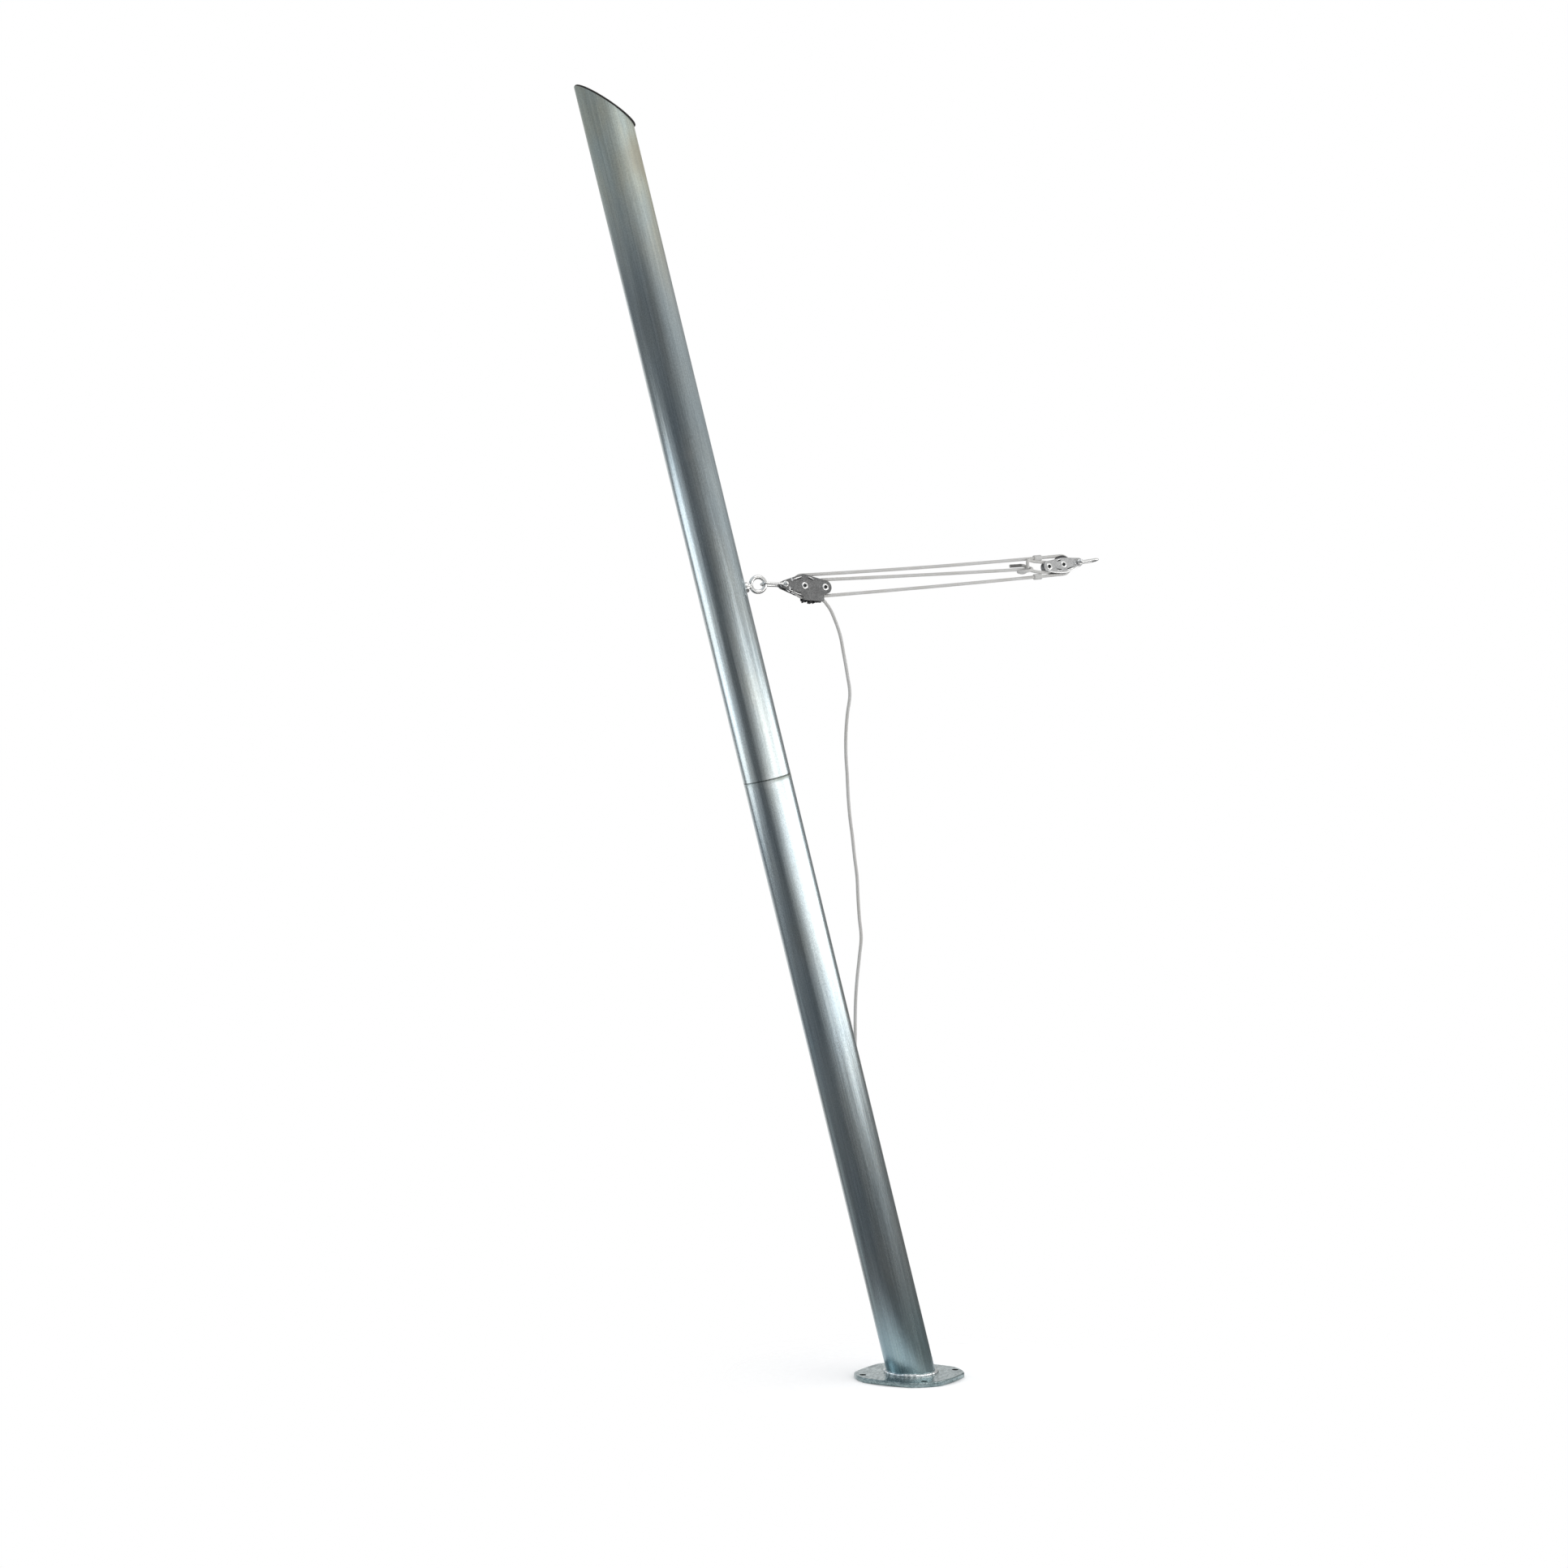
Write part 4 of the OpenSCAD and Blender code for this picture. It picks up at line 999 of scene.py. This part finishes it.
def base_plate():
    """A square plate with bowed sides, cut to blunt round corners, with a hole by each corner."""
    way = ray(full_turn(720))
    r = np.full(len(way), PLATE_CORNER)
    for k in range(4):
        c = (PLATE_SIDE - PLATE_SIDE_R) * ray((k + 0.5) * QUARTER)
        b = way @ c
        r = np.minimum(r, b + np.sqrt(b * b - c @ c + PLATE_SIDE_R ** 2))
    outline = r[:, None] * way
    for _ in range(10):         # soften the corners
        outline = 0.5 * outline + 0.25 * (np.roll(outline, 1, 0) + np.roll(outline, -1, 0))
    holes = [circle(*rim(0, BOLT_CIRCLE_R, k * QUARTER), BOLT_HOLE_R, 64) for k in range(4)]
    plate("base_plate_body", outline, holes, 0, PLATE_T, 2.6, GROUND, "mast", "galvanised_plate",
          ["base_plate"])


base_plate()


def base_weld():
    """A rippled bead where the leaning tube meets the plate."""
    n, beads, sink = 720, 58, 0.6
    phi = full_turn(n)
    wave = sum(size * np.sin(turns * phi + start) for size, turns, start
               in ((0.6, 3, 0.7), (0.45, 7, 2.1), (0.4, 13, 4.0), (0.25, 29, 0)))
    count = beads * phi / TURN + 0.45 * np.sin(5 * phi) + 0.3 * np.sin(11 * phi + 1)
    ripple = 1 - (2 * (count % 1) - 1) ** 2
    base = MAST(TUBE_R * np.cos(phi), TUBE_R * np.sin(phi), 0)
    foot = base + ((PLATE_T - base[:, 2]) / MAST.z[2])[:, None] * MAST.z
    normal = np.stack([np.cos(phi) * cos(LEAN), np.sin(phi), 0 * phi], -1)
    normal /= np.linalg.norm(normal, axis=1)[:, None]
    rows = []
    for t in np.linspace(0, QUARTER, 12):
        swell = WELD_LEG * (1 + 0.10 * wave) + 0.12 * ripple * sin(2 * t) + 0.7 * wave
        bulge = 1 + 0.05 * sin(2 * t)
        out = swell * cos(t) ** 0.9 * bulge
        up = swell * sin(t) ** 0.9 * bulge
        rows.append(foot + out[:, None] * normal + up[:, None] * MAST.z)
    down, inwards = np.array([0, 0, sink]), 1.2 * normal
    rows = [foot - inwards - down, rows[0] - down] + rows + [rows[-1] - inwards]
    faces = grid_faces(len(rows), n, closed=True)
    new_piece("base_weld_bead", np.vstack(rows), faces, "mast", "weld_metal", ["base_weld"])


base_weld()


def top_cap():
    """The slanted cover, flush at its high side and proud at its low side, on a plug inside the tube."""
    n, edge_r, crown = 192, 2.4, 5.35
    middle = MAST(0, 0, MAST_LENGTH)
    slope = cos(CUT) * MAST.x - sin(CUT) * MAST.z       # along the cut, towards the low side
    normal = sin(CUT) * MAST.x + cos(CUT) * MAST.z
    t = full_turn(n)
    edge = TUBE_R + 0.9 * (1 + np.cos(t))
    cover = edge[:, None] * ray(t) / (cos(CUT), 1)
    rows = [(edge_r * (cos(a) - 1), edge_r * (sin(a) + 1)) for a in np.linspace(-QUARTER, QUARTER, 13)]
    rows = rows[:1] + rows + [(-6.0, 4.9), (-16, 5.2), (-34, 5.3)]
    verts = []
    for inset, level in [(0, 0)] + rows[1:]:
        g = grown(cover, inset)
        verts.append(middle + g[:, 0][:, None] * slope + g[:, 1][:, None] * MAST.y + level * normal)
    verts[0] = verts[1] * 0.97 + middle * 0.03
    top_row, tip, under = (len(rows) - 1) * n, len(rows) * n, len(rows) * n + 1
    faces = grid_faces(len(rows), n)
    faces += [[top_row + j, top_row + (j + 1) % n, tip] for j in range(n)]
    faces += [[(j + 1) % n, j, under] for j in range(n)]
    parts = [(np.vstack(verts + [middle + crown * normal, middle]), faces)]
    # the plug's wall, cut off along the same slant
    outer, inner, depth, lap = TUBE_R - TUBE_WALL - 0.02, TUBE_R - 7.6, 25.0, 0.05
    rings = []
    for r, level in ((outer, lap), (outer, 1 - depth), (outer - 0.98, -depth), (inner, -depth), (inner, lap)):
        x, y = r * np.cos(t), r * np.sin(t)
        z = level / cos(CUT) - x * tan(CUT)
        rings.append(middle + x[:, None] * MAST.x + y[:, None] * MAST.y + z[:, None] * MAST.z)
    parts.append((np.vstack(rings), [f[::-1] for f in grid_faces(len(rings), n, closed=True)]))
    piece = new_piece("top_cap_moulding", *merge(parts), "mast", "cap_rubber", ["top_cap"])
    piece.data.set_sharp_from_angle(angle=radians(50))


top_cap()


def outward(piece):
    """Turns every closed part of the piece so its faces look outwards."""
    work = bmesh.new()
    work.from_mesh(piece.data)
    bmesh.ops.recalc_face_normals(work, faces=work.faces)
    work.to_mesh(piece.data)
    work.free()


for thing in SCENE.objects:
    if thing.type == "MESH" and thing.name not in frame["nodes"] and not thing.name.startswith("floor"):
        outward(thing)


# --- floor, room and lamps

FLOOR_GLOW, FLOOR_RADIUS = 0.35, 0.6
MIDDLE_X = -0.35        # the mast's middle, in metres


def around(azimuth, distance, height):
    """A point round the mast's middle, by its azimuth to the right of the camera's forward direction."""
    angle = CAMERA_HEADING + azimuth
    return (MIDDLE_X + distance * sin(angle), distance * cos(angle), height)


def add_floor():
    """A pale disc that fades out; it glows a little for the camera, but not under the plate."""
    rings, sides = 24, 96
    verts = [(0, 0, 0)]
    for r in np.linspace(0, FLOOR_RADIUS, rings + 1)[1:]:
        verts += [(x, y, 0) for x, y in circle(0, 0, r, sides)]
    faces = [(0, 1 + k, 1 + (k + 1) % sides) for k in range(sides)] + grid_faces(rings, sides, 1)
    mesh = bpy.data.meshes.new("floor")
    mesh.from_pydata(verts, [], faces)
    floor = bpy.data.objects.new("floor", mesh)
    SCENE.collection.objects.link(floor)
    material = bpy.data.materials.new("floor")
    tree, out = empty_tree(material, "OutputMaterial")
    coords = wire(tree, "TexCoord")
    far = wire(tree, "VectorMath", {0: coords.outputs["Object"]}, operation="LENGTH").outputs["Value"]
    grain = noise(tree, coords.outputs["Object"], 60, 3)
    paint = wire(tree, "BsdfDiffuse", {"Color": ramp(tree, grain, [(0.3, 0.80), (0.7, 0.84)])})
    path = wire(tree, "LightPath")
    seen = maths(tree, "ADD", path.outputs["Is Camera Ray"], path.outputs["Is Glossy Ray"])
    seen = maths(tree, "MINIMUM", maths(tree, "ADD", seen, path.outputs["Is Transmission Ray"]), 1.0)
    seen = product(tree, seen, stretch(tree, far, 0.118, 0.14))
    glow = wire(tree, "Emission", {"Strength": product(tree, seen, FLOOR_GLOW)})
    lit = wire(tree, "AddShader", {0: paint.outputs[0], 1: glow.outputs[0]})
    clear = wire(tree, "BsdfTransparent")
    fade = stretch(tree, far, 0.25 * FLOOR_RADIUS, FLOOR_RADIUS)
    mixed = wire(tree, "MixShader", {0: fade, 1: lit.outputs[0], 2: clear.outputs[0]})
    tree.links.new(mixed.outputs[0], out.inputs["Surface"])
    mesh.materials.append(material)


def add_world():
    """White to the camera, even light on dull surfaces, and a plain room in the shiny ones."""
    world = bpy.data.worlds.new("studio")
    tree, out = empty_tree(world, "OutputWorld")
    coords = wire(tree, "TexCoord")
    turned = wire(tree, "Mapping", {"Vector": coords.outputs["Generated"],
                                    "Rotation": (0, 0, CAMERA_HEADING)}, vector_type="VECTOR")
    right, ahead, up = split(tree, turned.outputs[0])
    # darker low down and behind the camera, brighter to the right and high up
    lift = ramp(tree, maths(tree, "ADD", product(tree, up, 0.5), 0.5),
                [(0.28, 0.14), (0.48, 0.155), (0.54, 0.24), (0.66, 0.62)])
    side = ramp(tree, maths(tree, "ADD", product(tree, right, 0.5), 0.5),
                [(0.0, (1.15, 1.25, 1.35)), (0.30, (0.80, 0.86, 0.92)), (0.5, (0.80, 0.80, 0.79)),
                 (1.0, (1.15, 1.15, 1.13))])
    room = shaded(tree, lift, side)
    # pale ground far to the left, which the foot of the mast shows
    ground = product(tree, stretch(tree, up, -0.35, -0.42), stretch(tree, ahead, 0.15, 0.35))
    ground = product(tree, ground, stretch(tree, right, -0.5, -0.7))
    room = mix_colour(tree, ground, room, (0.55, 0.60, 0.62))
    # white where the backdrop is
    back = grey(tree, maths(tree, "SUBTRACT", ahead, product(tree, right, 0.25)), [(0.84, 0.0), (1.0, 1.0)])
    path = wire(tree, "LightPath")
    shiny = maths(tree, "MAXIMUM", path.outputs["Is Glossy Ray"], path.outputs["Is Transmission Ray"])
    shiny = product(tree, shiny, maths(tree, "SUBTRACT", 1.0, path.outputs["Is Camera Ray"]))
    whiteness = maths(tree, "MAXIMUM", path.outputs["Is Camera Ray"], product(tree, shiny, back))
    white = wire(tree, "Background", {"Color": (1, 1, 1, 1)})
    reflected = wire(tree, "Background", {"Color": room})
    plain = wire(tree, "Background", {"Color": (0.97, 0.98, 1.0, 1), "Strength": 0.55})
    unseen = wire(tree, "MixShader", {0: shiny, 1: plain.outputs[0], 2: reflected.outputs[0]})
    mixed = wire(tree, "MixShader", {0: whiteness, 1: unseen.outputs[0], 2: white.outputs[0]})
    tree.links.new(mixed.outputs[0], out.inputs["Surface"])
    SCENE.world = world


def add_panel(name, at, target, size, radiance, colour):
    """A rectangular lamp that faces the target; all its measures are in metres."""
    light = bpy.data.lights.new(name, "AREA")
    light.shape = "RECTANGLE"
    light.size, light.size_y = size
    light.energy = radiance * pi * size[0] * size[1]
    light.color = colour
    panel = bpy.data.objects.new(name, light)
    panel.location = at
    panel.rotation_euler = (Vector(target) - Vector(at)).to_track_quat("-Z", "Y").to_euler()
    panel.visible_camera = False
    SCENE.collection.objects.link(panel)


add_floor()
add_world()
# Screens round the mast: from and to (degrees to the right), distance, middle height, height, radiance.
SCREENS = [(-98, -64, 2.0, 1.24, 1.06, 2.0), (-126, -98, 2.0, 1.24, 1.06, 0.5),
           (60, 100, 3.0, 1.63, 1.16, 2.3), (100, 142, 3.0, 1.39, 1.16, 2.3), (142, 162, 3.0, 1.1, 1.16, 1.5),
           (162, 180, 3.0, 0.86, 1.16, 0.7), (180, 197, 3.0, 0.66, 1.2, 0.3)]
COOL, NEUTRAL = (0.96, 0.98, 1.0), (1, 1, 1)
for k, (start, end, distance, middle, tall, radiance) in enumerate(SCREENS):
    wide = 2 * distance * tan(radians((end - start) / 2))
    at = around(radians((start + end) / 2), distance, middle)
    colour = COOL if start < 0 else NEUTRAL
    add_panel(f"screen_{k}", at, (MIDDLE_X, 0, middle), (wide, tall), radiance, colour)
add_panel("top_soft", (0.2, -1.2, 4.6), (-0.1, 0, 0.8), (2.4, 2.4), 1.2, NEUTRAL)

SCENE.view_settings.view_transform = "Standard"
